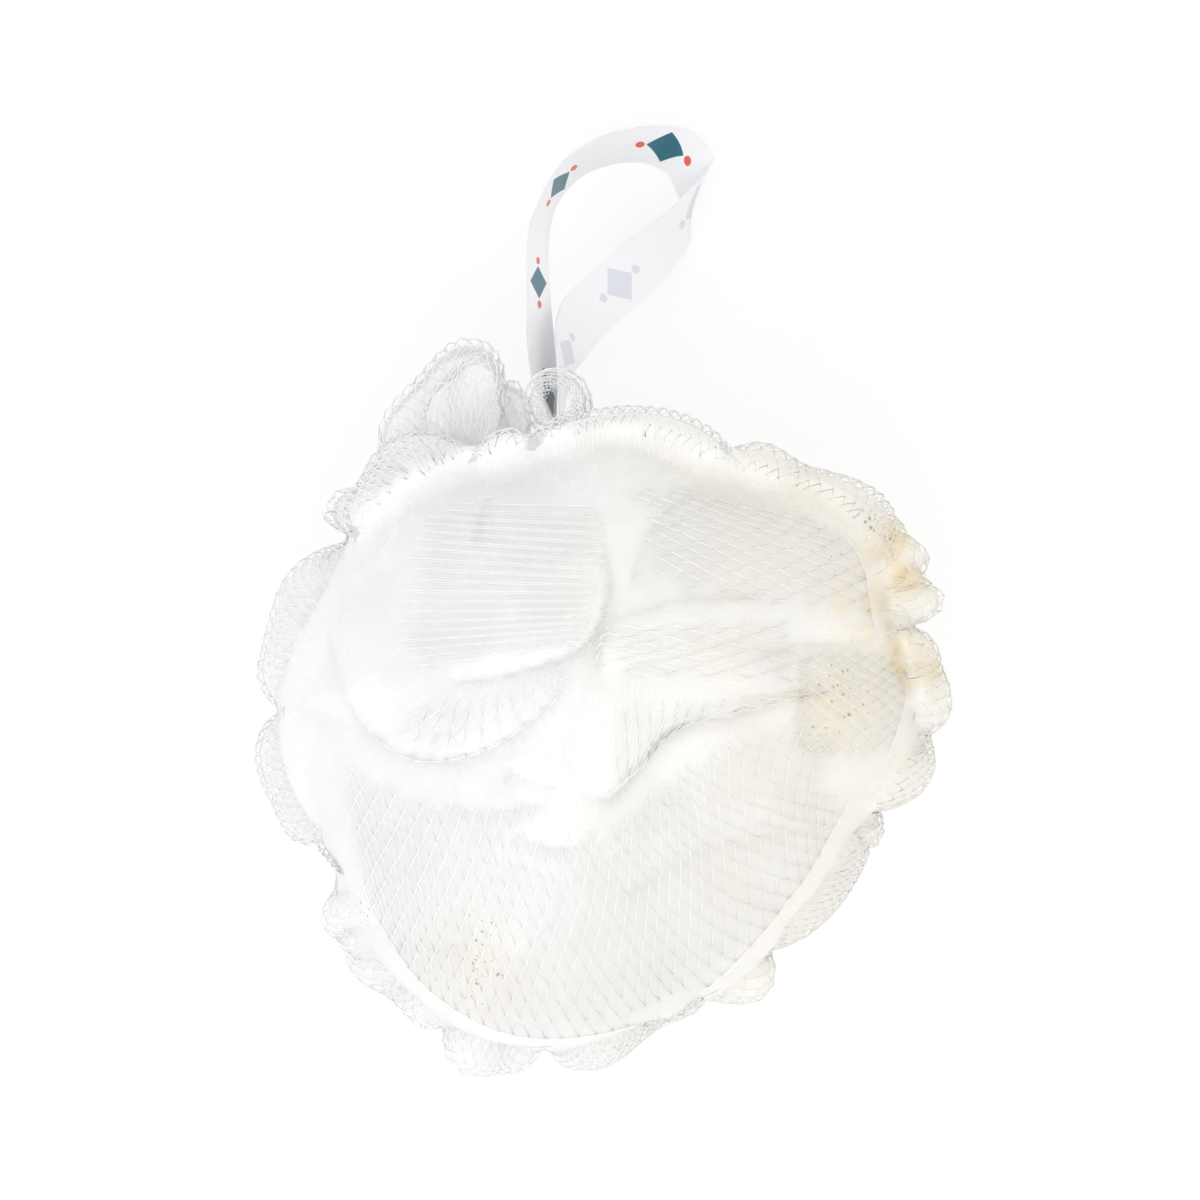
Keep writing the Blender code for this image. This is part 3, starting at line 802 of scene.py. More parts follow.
@dataclass
class Patch:
    """A stretch of net that lies on the face between a line and a fold's edge.

    Places are in millimetres in the part's X and Y.
    """

    name: str
    group: str
    base: list[tuple[float, float]]
    rim: list[tuple[float, float]]
    across: float
    along: float
    overhang: float
    parallel: bool = False
    strand_gap: float = 0.35
    fade_in: float = 0.3
    fade_side: float = 0.2
    sunk: float = 0.35
    ragged_turn: float = 0.618

    def plan(self, u: np.ndarray, v: np.ndarray) -> np.ndarray:
        """Places in X and Y, indexed by the share u from base to rim and v across."""
        foot = smooth_curve(np.array(self.base, dtype=float), v)
        rim = smooth_curve(np.array(self.rim, dtype=float), v)
        return foot[None] * (1 - u[:, None, None]) + rim[None] * u[:, None, None]

    def sizes(self) -> tuple[float, float]:
        """The patch's width and depth in millimetres."""
        v = np.linspace(0, 1, 40)
        plan = self.plan(np.array((0, 0.5, 1)), v)
        wide = float(np.linalg.norm(np.diff(plan[1], axis=0), axis=1).sum())
        return wide, float(np.linalg.norm(plan[2] - plan[0], axis=1).mean())

    def surface(self, u: np.ndarray, v: np.ndarray, over: float) -> np.ndarray:
        """The patch laid on the face, in metres."""
        plan = self.plan(u, v)
        height = FACE.height(plan[..., 0], plan[..., 1], Side.YARN) + over
        return np.concatenate((plan, height[..., None]), axis=-1) * MM

    def net_surface(self, rise: float) -> np.ndarray:
        """The net's grid of points, which goes over the fold's edge and down beside it.

        Args:
            rise: how far the yarn lies over the face, in millimetres.

        Returns:
            Points in metres, indexed by row and column.
        """
        wide, deep = self.sizes()
        columns = max(6, int(wide / self.across)) | 1
        rows = max(5, int(deep / self.along)) | 1
        v = np.linspace(0, 1, columns)
        if self.parallel:
            half = self.strand_gap / wide / 2
            v = np.stack((v - half, v + half), axis=-1).ravel()
        u = np.linspace(0, 1, rows)
        ragged = self.fade_in * (0.7 + 0.6 * np.modf(np.arange(len(v)) // 2 * self.ragged_turn)[0])
        shown = (eased(u[:, None] / ragged[None])
                 * eased(np.minimum(v, 1 - v) / self.fade_side)[None])
        laid = self.surface(u, v, 0)
        laid[..., 2] += (shown * (rise + self.sunk) - self.sunk) * MM
        edge = laid[-1]
        out = unit((edge - laid[-2]) * np.array((1, 1, 0)))
        lip = [edge + out * step * self.overhang * MM - np.array((0, 0, drop * MM))
               for step, drop in ((1.0, 0.3), (1.1, 1.5))]
        return np.concatenate([laid, np.array(lip)])


PATCHES = [
    Patch("pillow_net", "left", [(-43.5, 11.5), (-45.5, 25.5), (-41.5, 41.5), (-36.5, 52)],
          [(-5, 18.5), (-1.5, 22.5), (0.5, 27), (1, 32.5), (0.5, 38.5), (-0.5, 45.5), (-3, 52)],
          1.6, 2.6, 0.5, parallel=True),
    Patch("petal_net", "left", [(-35.5, 10.5), (-24.5, 12), (-14.5, 14.5), (-6, 18.5)],
          [(-48, 4), (-39.5, -2), (-30.5, -2.5), (-20.5, 1), (-10, 9), (-4, 17.5)], 1.5, 2.6, 0.4),
    Patch("tongue_net", "right", [(42.5, 27.5), (43, 19.5), (42.5, 11.5)],
          [(2.5, 25), (0, 20), (0, 14.5)], 1.25, 4.0, 0.8),
    Patch("fan_net", "right", [(1, 13.5), (20, 10.5), (42.5, 11.5)],
          [(0, -10.5), (8, -4), (17.5, 4.5), (46, 11)], 1.7, 3.6, 0.4),
    Patch("open_right", "right", [(40, 20), (40, 9.5), (39, -3.5)],
          [(61.5, 20), (62.5, 9.5), (58.5, -3.5)], 1.2, 1.8, 0.3),
    Patch("low_net", "bottom", [(-58, 2), (-38, -6), (-20, -5), (-4, -12), (8, -5), (18, 2),
                                (44, 8)],
          [(-49, -31), (-36, -50), (-18, -60), (4, -59), (22, -50), (40, -30), (51, -11)],
          1.5, 2.8, 0.3, fade_side=0.08),
    Patch("upper_net", "top", [(0, 56), (5, 44), (5, 31)], [(36, 52), (52, 40), (56, 24)],
          1.4, 2.8, 0.3),
]


HAND_RUFFLES = [
    Ruffle("top_middle", [(2, 30, 96), (12, 28, 97)],
           [(-14, 50, 92), (-14, 61, 82), (-6, 67, 73), (5, 69, 70), (16, 66, 73), (25, 60, 78),
            (28, 46, 90), (22, 34, 99)], 5, "top"),
    Ruffle("upper_left", [(-20, 40, 97), (-23, 47, 95)],
           [(-48, 39, 76), (-52, 48, 64), (-47, 57, 56), (-38, 62, 58), (-27, 60, 74)], 5, "top"),
    Ruffle("upper_left_inner", [(-10, 42, 98), (-16, 43, 98)],
           [(-27, 49, 90), (-26, 58, 80), (-18, 62, 78), (-11, 57, 88)], 4, "top"),
    Ruffle("ear", [(-36, 48, 60), (-20, 56, 62)],
           [(-46, 59, 54), (-43, 69, 51), (-37, 77, 49), (-30, 82, 48), (-23, 82, 49),
            (-20, 74, 53)], 3, "top", open_rim=6.0, fullness=0.8, crisp=True),
    Ruffle("ear_root", [(-28, 48, 62), (-12, 50, 62)],
           [(-25, 68, 52), (-21, 74, 50), (-17, 73, 50), (-15, 66, 54)], 1, "top", crisp=True),
    Ruffle("ear_fold", [(-32, 54, 66), (-22, 57, 66)],
           [(-36, 68, 58), (-30, 77, 56), (-23, 79, 58), (-20, 70, 64)], 2, "top", crisp=True),
    Ruffle("upper_right", [(14, 30, 97), (22, 26, 97)],
           [(24, 59, 76), (33, 60, 70), (42, 57, 68), (50, 54, 66), (57, 50, 62), (61, 46, 62),
            (60, 36, 70)], 5, "right"),
    Ruffle("right_high", [(38, 38, 82), (44, 27, 82)],
           [(57, 47, 58), (63, 43, 55), (66, 37, 56), (63, 32, 62)], 3, "right", crisp=True),
    Ruffle("right_curl_high", [(46, 31, 74), (50, 24, 74)],
           [(61, 37, 64), (68, 33, 60), (69, 28, 60), (62, 25, 66)], 2, "right", crisp=True),
    Ruffle("right_curl_middle", [(48, 19, 76), (48, 6, 76)],
           [(60, 23, 64), (68, 19, 58), (70, 12, 55), (69, 4, 57), (60, 0, 64)], 4, "right", crisp=True),
    Ruffle("right_low", [(28, -1, 92), (32, -9, 91)],
           [(60, 6, 68), (67, 2, 58), (68, -4, 54), (62, -11, 56), (50, -14, 66)], 5, "right"),
    Ruffle("right_low_tuck", [(40, -12, 68), (42, -17, 66)],
           [(54, -12, 57), (58, -16, 53), (55, -20, 52), (48, -20, 58)], 2, "right", crisp=True),
    Ruffle("lower_right_flap", [(26, -14, 88), (18, -26, 86)],
           [(48, -17, 66), (54, -21, 54), (53, -28, 47), (46, -35, 44), (37, -42, 44),
            (28, -43, 56)], 4, "bottom", crisp=True),
    Ruffle("corner", [(24, -34, 58), (16, -40, 56)],
           [(33, -42, 44), (35, -45, 40), (35, -51, 38), (28, -54, 38), (19, -54, 40)],
           2, "bottom", crisp=True),
    Ruffle("bottom_right", [(6, -32, 84), (-2, -34, 84)],
           [(24, -46, 62), (19, -54, 50), (12, -59, 44), (5, -64, 41), (-2, -67, 40),
            (-9, -66, 42), (-11, -56, 60)], 5, "bottom"),
    Ruffle("bottom_curl", [(-14, -44, 68), (-22, -42, 68)],
           [(-12, -62, 48), (-18, -68, 42), (-25, -69, 40), (-31, -65, 42), (-32, -57, 50)],
           4, "bottom", crisp=True),
    Ruffle("bottom_left", [(-24, -36, 76), (-30, -32, 76)],
           [(-33, -60, 48), (-40, -56, 44), (-47, -50, 43), (-52, -44, 44), (-50, -37, 56)],
           4, "left"),
    Ruffle("left_low", [(-28, -26, 84), (-32, -20, 84)],
           [(-47, -45, 52), (-54, -42, 47), (-56, -36, 48), (-54, -29, 56)], 4, "left"),
    Ruffle("lower_left", [(-16, -12, 98), (-20, -5, 98)],
           [(-34, -34, 86), (-50, -30, 69), (-57, -22, 60), (-56, -12, 68), (-44, -8, 84)],
           4, "left"),
    Ruffle("left_outer_low", [(-38, -8, 74), (-40, 2, 76)],
           [(-58, -21, 54), (-64, -19, 48), (-69, -12, 46), (-70, -4, 46), (-69, 4, 50),
            (-60, 6, 64)], 4, "left", crisp=True),
    Ruffle("left_outer_high", [(-40, 14, 78), (-40, 24, 78)],
           [(-68, 7, 52), (-70, 15, 48), (-69, 25, 47), (-64, 33, 48), (-58, 39, 52),
            (-52, 42, 60)], 4, "left", crisp=True),
    Ruffle("left_nub", [(-44, 42, 62), (-42, 48, 62)],
           [(-53, 43, 57), (-57, 47, 54), (-53, 51, 55), (-46, 52, 60)], 1, "left", crisp=True),
    Ruffle("middle_low", [(4, -6, 98), (12, -8, 98)],
           [(-5, -26, 94), (4, -35, 91), (16, -38, 87), (28, -30, 88), (30, -17, 93)],
           4, "bottom"),
    Ruffle("bottom_smooth", [(2, -24, 93), (8, -24, 93)],
           [(-11, -43, 82), (-4, -55, 69), (10, -57, 63), (22, -49, 67), (26, -38, 79)],
           5, "bottom"),
]
RUFFLE_GROUPS = ("left", "top", "right", "bottom", "side_high", "side_middle", "side_low")


@dataclass
class Netting:
    """The long tube of knitted net, gathered in ruffles round the whole ball."""

    yarn: float = 0.32
    tube_width: float = 0.15
    cell_across: float = 1.5
    cell_along: float = 3.4
    back_share: float = 0.28
    jitter: float = 0.06
    seed: int = 4
    ball_rise: float = 60.5
    rest_height: float = 0.35
    patch_rise: float = 0.4
    # These four set where the painted rim shade of the layers goes and where it fades out.
    rim_find: float = 2.6
    rim_low: float = 38.0
    rim_fade: float = 10.0
    hidden_share: float = 0.03
    heart_grid: float = 1.25
    crease_fill: float = 6.5
    underside: tuple = (34, 34, 13)
    rings: tuple = (
        (20, 11, 0.93, 24, 14, 8, "side_high"), (-8, 13, 0.97, 21, -16, 0, "side_middle"),
        (-32, 11, 1.02, 23, 15, 17, "side_low"), (-56, 8, 0.98, 30, -12, 5, "side_low"),
    )
    roll_middle: tuple = (-9, 70.5, 65)
    roll_radius: float = 7.2
    roll_flatness: float = 0.4
    ruffles: list = field(default_factory=list)
    made: list = field(default_factory=list)

    def ring_ruffle(self, angle: float, above: float, share: float, spread: float, slant: float,
                    group: str, waves: int) -> Ruffle:
        """One ruffle of a ring round the ball.

        Args:
            angle: its place round the ball, in degrees.
            above: its height above the ball's middle, in degrees.
            share: share of the outline that it reaches.
            spread: half its spread, in degrees.
            slant: how much higher its end is than its middle, in degrees.
            group: the piece of netting that it belongs to.
            waves: waves along its rim.

        Returns:
            The ruffle.
        """
        def at(around: float, level: float, reach: float) -> tuple[float, float, float]:
            """A point round the ball in millimetres."""
            turn, rise = math.radians(around), math.radians(level)
            plan = float(outline_reach(around)) * reach * math.cos(rise)
            z = BALL_MIDDLE[2] / MM + self.ball_rise * reach * math.sin(rise)
            return plan * math.cos(turn), plan * math.sin(turn), z

        rim = [at(angle + spread * t, above + slant * t, share - 0.09 * t * t)
               for t in (-1, -0.6, -0.2, 0.2, 0.6, 1)]
        base = [at(angle + spread / 2 * t, above + slant * t, 0.5) for t in (-1, 1)]
        return Ruffle(f"ring_{above}_{angle:.0f}", base, rim, 2, group, waves, 2.5, start=0.42)

    def gather(self) -> None:
        """Lists all the ruffles: those listed one by one and those of the rings."""
        chance = random.Random(self.seed)
        self.ruffles = list(HAND_RUFFLES)
        for above, count, share, spread, slant, first, group in self.rings:
            for k in range(count):
                angle = first + 360 * k / count + chance.uniform(-4, 4)
                waves = chance.choice((1, 2))
                self.ruffles.append(
                    self.ring_ruffle(angle, above, share, spread, slant, group, waves))

    def press_flat(self, points: np.ndarray) -> np.ndarray:
        """Presses what would reach under the surface flat onto it."""
        flat = points.copy()
        flat[..., 2] = np.maximum(flat[..., 2], self.rest_height * MM)
        return flat

    @staticmethod
    def strands(grid: np.ndarray, first: int) -> tuple[np.ndarray, list, np.ndarray]:
        """Turns pairs of a grid's columns into yarns that lie side by side.

        Args:
            grid: points by row and column, two columns for each yarn.
            first: number of the first vertex that the piece has free.

        Returns:
            Vertices, faces as lists of vertex numbers, and each vertex's place in the grid.
        """
        rows, columns = grid.shape[:2]
        number = first + np.arange(rows * columns).reshape(rows, columns)
        cells = [[number[i, j], number[i, j + 1], number[i + 1, j + 1], number[i + 1, j]]
                 for j in range(0, columns - 1, 2) for i in range(rows - 1)]
        spots = np.argwhere(number >= 0) / np.array([rows - 1, columns - 1])
        return grid.reshape(-1, 3), cells, spots[:, ::-1]

    def lattice(self, grid: np.ndarray, first: int) -> tuple[np.ndarray, list, np.ndarray]:
        """Turns a grid of points into the cells of a knitted net.

        Args:
            grid: points by row and column.
            first: number of the first vertex that the piece has free.

        Returns:
            Vertices, cells as lists of vertex numbers, and each vertex's place in the grid.
        """
        rows, columns = grid.shape[:2]
        number = -np.ones((rows, columns), dtype=int)
        even = (np.add.outer(np.arange(rows), np.arange(columns)) % 2) == 0
        number[even] = first + np.arange(even.sum())
        cells = []
        for i in range(1, rows - 1):
            for j in range(1, columns - 1):
                if (i + j) % 2:
                    cells.append([number[i - 1, j], number[i, j + 1], number[i + 1, j],
                                  number[i, j - 1]])
        spots = np.argwhere(even) / np.array([rows - 1, columns - 1])
        return grid[even], cells, spots[:, ::-1]

    def yarn_piece(self, name: str, surfaces: list, material: bpy.types.Material,
                   tiles: int) -> bpy.types.Object:
        """Knits one piece of net from several surfaces.

        Args:
            name: the piece's name.
            surfaces: grids of points, each with whether its yarns lie side by side.
            material: its finish.
            tiles: tiles along one side of its map, one tile for each surface.

        Returns:
            The piece, its yarn as thin closed strands.
        """
        chance = np.random.default_rng(self.seed)
        vertices, cells, places = [], [], []
        total = 0
        for k, (grid, parallel) in enumerate(surfaces):
            knit = self.strands if parallel else self.lattice
            points, faces, spots = knit(self.press_flat(grid), total)
            if not parallel:
                points = points + chance.normal(0, self.jitter * MM, points.shape)
            points[:, 2] = np.maximum(points[:, 2], self.rest_height * MM)
            tile = np.array([k % tiles, k // tiles])
            vertices.append(points)
            cells += faces
            places.append((tile + 0.03 + 0.94 * spots) / tiles)
            total += len(points)
        thing = mesh_object(name, np.concatenate(vertices), cells, material,
                            np.concatenate(places))
        with edited(thing.data) as bm:
            loose = [v for v in bm.verts if not v.link_faces]
            bmesh.ops.delete(bm, geom=loose, context="VERTS")
        strands = thing.modifiers.new("strands", "WIREFRAME")
        strands.thickness = self.yarn * MM
        strands.use_even_offset = False
        apply_modifiers(thing)
        return thing

    @staticmethod
    def laid_area(grid: np.ndarray) -> float:
        """Area in square metres that a grid of points covers, holes of the net included."""
        first = np.cross(grid[1:, :-1] - grid[:-1, :-1], grid[1:, 1:] - grid[:-1, :-1])
        second = np.cross(grid[1:, 1:] - grid[:-1, :-1], grid[:-1, 1:] - grid[:-1, :-1])
        return float(np.linalg.norm(first, axis=-1).sum()
                     + np.linalg.norm(second, axis=-1).sum()) / 2

    def ruffle_surfaces(self, group: str) -> list:
        """Skins of all the ruffles of a group."""
        surfaces = []
        for ruffle in self.ruffles:
            if ruffle.group == group:
                columns = max(14, int(ruffle.rim_length() / self.cell_across)) | 1
                rows = max(8, int(ruffle.reach_length() * (1 - ruffle.start) / self.cell_along)) | 1
                surfaces.append((ruffle.net_surface(rows, columns, self.back_share), False))
        surfaces += [(patch.net_surface(self.patch_rise), patch.parallel)
                     for patch in PATCHES if patch.group == group]
        return surfaces

    def roll_surfaces(self) -> list:
        """The small rolled end of net that lies over the ribbon, turn inside turn."""
        surfaces = []
        for share, twist in ((1.0, 0.0), (0.82, 0.7)):
            turns = np.linspace(0, math.tau, 31) + twist
            tilts = np.linspace(0.13, 0.62, 11) * math.pi
            radius = self.roll_radius * share * MM
            rows = []
            for tilt in tilts:
                reach, rise = radius * math.sin(tilt), radius * self.roll_flatness * math.cos(tilt)
                turned = turns + 0.9 * tilt
                rows.append(np.stack((reach * np.cos(turned), reach * np.sin(turned),
                                      np.full_like(turned, rise)), axis=-1))
            surfaces.append((np.array(rows) + np.array(self.roll_middle) * MM, False))
        return surfaces

    def weave_samples(self) -> tuple[np.ndarray, ...]:
        """Places on all the folds, with the net's own measures there.

        Returns:
            Points, the net's measures across and along in millimetres, how the two measures
            change with place, and where the rim is and how wide its open band is, each one a
            row for every sample.
        """
        places, measures, across_slopes, along_slopes, rims = [], [], [], [], []
        v = np.linspace(0, 1, 36)
        for k, fold in enumerate([*self.ruffles, *PATCHES]):
            if isinstance(fold, Patch):
                u = np.linspace(0, 1, 24)
                middle = fold.surface(u, v, 0)
                sheets = [middle]
                wide, tall = fold.sizes()
                end, band = 2 * tall, tall
            else:
                u = np.linspace(0, fold.heart_depth(), 24)
                middle = fold.middle(u, v)
                shift = fold.normals(middle) * fold.heart_wall(u, v)[..., None]
                sheets = [FACE.lay(middle + shift, over, Side.LAYERS)
                          for over in (0.0, fold.slab_under[1])]
                sheets[1] -= 2 * shift
                wide, tall = fold.rim_length(), fold.reach_length()
                end, band = fold.heart_depth() * tall, fold.open_rim
            step_v = np.gradient(middle, v, axis=1)
            step_u = np.gradient(middle, u, axis=0)
            slope_v = step_v * wide / np.maximum((step_v ** 2).sum(-1, keepdims=True), 1e-8)
            slope_u = step_u * tall / np.maximum((step_u ** 2).sum(-1, keepdims=True), 1e-8)
            measure = np.stack(np.broadcast_arrays(v[None] * wide + 7.3 * k, u[:, None] * tall),
                               axis=-1)
            for sheet in sheets:
                places.append(sheet.reshape(-1, 3))
                measures.append(measure.reshape(-1, 2))
                across_slopes.append(slope_v.reshape(-1, 3))
                along_slopes.append(slope_u.reshape(-1, 3))
                rims.append(np.tile((end, band), (measure[..., 0].size, 1)))
        return tuple(np.concatenate(part)
                     for part in (places, measures, across_slopes, along_slopes, rims))

    def mark_weave(self, heart: bpy.types.Object) -> None:
        """Writes on every vertex where it lies in the net, and how near it is to a rim, for the material to
        read; the material paints shade in a band inside the rims from the last.

        Args:
            heart: the dense inner layers.
        """
        places, measures, across_slopes, along_slopes, rims = self.weave_samples()
        tree = KDTree(len(places))
        for k, place in enumerate(places):
            tree.insert(place, k)
        tree.balance()
        spots = np.empty(3 * len(heart.data.vertices))
        heart.data.vertices.foreach_get("co", spots)
        spots = spots.reshape(-1, 3)
        near = np.array([tree.find(spot)[1] for spot in spots])
        away = spots - places[near]
        across = measures[near, 0] + (away * across_slopes[near]).sum(-1)
        along = measures[near, 1] + (away * along_slopes[near]).sum(-1)
        marks = heart.data.attributes.new("weave", "FLOAT_VECTOR", "POINT")
        before_rim = (along - rims[near, 0]) / rims[near, 1]
        lost = np.linalg.norm(away, axis=-1) > self.rim_find * MM
        hidden = (FACE.inside(spots) > self.hidden_share) | lost
        # The band of painted rim shade fades out below rim_low and is left out where the face hides the rim
        # or no fold is near.
        low = 1 - eased((spots[:, 2] / MM - self.rim_low) / self.rim_fade)
        before_rim = np.where(hidden, -2.0, before_rim - 2 * low)
        values = np.stack((across, along, before_rim), axis=-1)
        marks.data.foreach_set("vector", values.ravel())

    def heart_slabs(self, crisp: bool) -> tuple[np.ndarray, list]:
        """Closed slabs inside the ruffles.

        Args:
            crisp: whether to take the ruffles whose edges stay sharp, or the others.

        Returns:
            Vertices and faces of all of them together.
        """
        vertices, faces = [], []
        total = 0
        for ruffle in (r for r in self.ruffles if r.crisp == crisp):
            front, back = ruffle.slab(20, 26)
            rows, columns = front.shape[:2]
            count = rows * columns
            vertices += [front.reshape(-1, 3), back.reshape(-1, 3)]
            a = total + np.arange(count).reshape(rows, columns)
            b = a + count
            for i in range(rows - 1):
                for j in range(columns - 1):
                    faces.append([a[i, j], a[i, j + 1], a[i + 1, j + 1], a[i + 1, j]])
                    faces.append([b[i, j], b[i + 1, j], b[i + 1, j + 1], b[i, j + 1]])
            for j in range(columns - 1):
                faces.append([a[0, j], b[0, j], b[0, j + 1], a[0, j + 1]])
                faces.append([a[-1, j + 1], b[-1, j + 1], b[-1, j], a[-1, j]])
            for i in range(rows - 1):
                faces.append([a[i + 1, 0], b[i + 1, 0], b[i, 0], a[i, 0]])
                faces.append([a[i, -1], b[i, -1], b[i + 1, -1], a[i + 1, -1]])
            total += 2 * count
        return np.concatenate(vertices), faces

    def add_skin(self, heart: bpy.types.Object) -> None:
        """Joins all the closed bodies of the layers under one even skin."""
        skin = heart.modifiers.new("skin", "REMESH")
        skin.mode = "VOXEL"
        skin.voxel_size = self.heart_grid * MM

    @staticmethod
    def add_swelling(heart: bpy.types.Object, height: float) -> None:
        """Moves the skin out by a height in millimetres, or in where it is less than 0."""
        swell = heart.modifiers.new("swell", "DISPLACE")
        swell.strength = height * MM
        swell.mid_level = 0

    @staticmethod
    def soften(heart: bpy.types.Object, times: int) -> None:
        """Smooths the skin a number of times."""
        heart.modifiers.new("soften", "SMOOTH").iterations = times

    @staticmethod
    def shape_face(heart: bpy.types.Object) -> None:
        """Moves the front of the dense layers to the face's height, creases and pits.

        Args:
            heart: the dense layers, under one skin.
        """
        mesh = heart.data
        spots = np.empty(3 * len(mesh.vertices))
        mesh.vertices.foreach_get("co", spots)
        spots = spots.reshape(-1, 3)
        facing = np.array([v.normal.z for v in mesh.vertices])
        share = FACE.inside(spots) * eased(facing / 0.3)
        height = FACE.height(spots[:, 0] / MM, spots[:, 1] / MM, Side.LAYERS) * MM
        spots[:, 2] += (height - spots[:, 2]) * share
        mesh.vertices.foreach_set("co", spots.ravel())
        mesh.update()

    def add_cores(self, heart: bpy.types.Object) -> None:
        """Adds the closed middle of the layers, and the folds that close the underside."""
        low = Vector((0, 0, 0.8 * self.underside[2]))
        power = FACE.squareness
        with edited(heart.data) as bm:
            for radii in (None, self.underside):
                ball = bmesh.ops.create_icosphere(bm, subdivisions=6, radius=1)
                for vert in ball["verts"]:
                    x, y, z = vert.co
                    if radii:
                        place = low + Vector((x * radii[0], y * radii[1], z * radii[2]))
                    else:
                        size = (math.hypot(x, y) ** power + abs(z) ** power) ** (1 / power)
                        plan = float(FACE.reach(np.array(x), np.array(y))) / size
                        place = Vector((x * plan, y * plan,
                                        z / size * FACE.rise + BALL_MIDDLE[2] / MM))
                    vert.co = place * MM

    def cut_flat(self, heart: bpy.types.Object) -> None:
        """Cuts the layers off level where they rest, and closes the cut."""
        with edited(heart.data) as bm:
            cut = bmesh.ops.bisect_plane(
                bm, geom=[*bm.verts, *bm.edges, *bm.faces], plane_no=(0, 0, -1),
                plane_co=(0, 0, self.rest_height * MM), clear_outer=True)
            rim = [e for e in cut["geom_cut"] if isinstance(e, bmesh.types.BMEdge)]
            bmesh.ops.triangle_fill(bm, use_beauty=True, edges=rim, normal=(0, 0, -1))

    def build_heart(self, material: bpy.types.Material) -> bpy.types.Object:
        """The dense inner layers of net, which show through the outer one.

        Args:
            material: their finish.

        Returns:
            The piece, one closed body with a flat underside.
        """
        points, faces = self.heart_slabs(crisp=False)
        heart = mesh_object("net_layers", points, faces, material)
        self.add_cores(heart)
        self.add_skin(heart)
        self.add_swelling(heart, self.crease_fill)
        self.add_skin(heart)
        self.add_swelling(heart, -self.crease_fill)
        self.soften(heart, 4)
        apply_modifiers(heart)
        points, faces = self.heart_slabs(crisp=True)
        folds = mesh_object("crisp_folds", points, faces, material)
        with edited(heart.data) as bm:
            bm.from_mesh(folds.data)
        bpy.data.objects.remove(folds, do_unlink=True)
        self.add_skin(heart)
        self.soften(heart, 2)
        apply_modifiers(heart)
        self.shape_face(heart)
        self.cut_flat(heart)
        self.mark_weave(heart)
        heart.data.shade_smooth()
        LOG.info("net_layers: %d triangles", triangle_count(heart))
        return heart

    def build(self) -> None:
        """Makes every piece of the netting, attaches each to the root body and hides the CAD netting."""
        self.gather()
        yarn = NetFinish("white_yarn", white=(0.955, 0.955, 0.95)).build()
        layers = NetFinish("net_layers_white", white=(0.86, 0.858, 0.852), sheen=0.1,
                           subsurface=1.0, scatter_mm=9, line_pitch=1.5).build()
        heart = self.build_heart(layers)
        self.made = [heart]
        for group in RUFFLE_GROUPS:
            surfaces = self.ruffle_surfaces(group)
            if group == "top":
                surfaces += self.roll_surfaces()
            tiles = math.ceil(math.sqrt(len(surfaces)))
            self.made.append(self.yarn_piece(f"net_{group}", surfaces, yarn, tiles))
        for piece in self.made:
            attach(piece, "root")
            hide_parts("netting")


def true_place(x: float, y: float, z: float) -> tuple[float, float]:
    """Where a point lies that is drawn as the camera sees it.

    Args:
        x: its drawn place to the right, in millimetres.
        y: its drawn place up the picture, in millimetres.
        z: its height over the surface, in millimetres.

    Returns:
        Its real X and Y in millimetres.
    """
    share = (EYE_HEIGHT - z) / (EYE_HEIGHT - DRAWN_LEVEL)
    return EYE_PLACE[0] + (x - EYE_PLACE[0]) * share, EYE_PLACE[1] + (y - EYE_PLACE[1]) * share


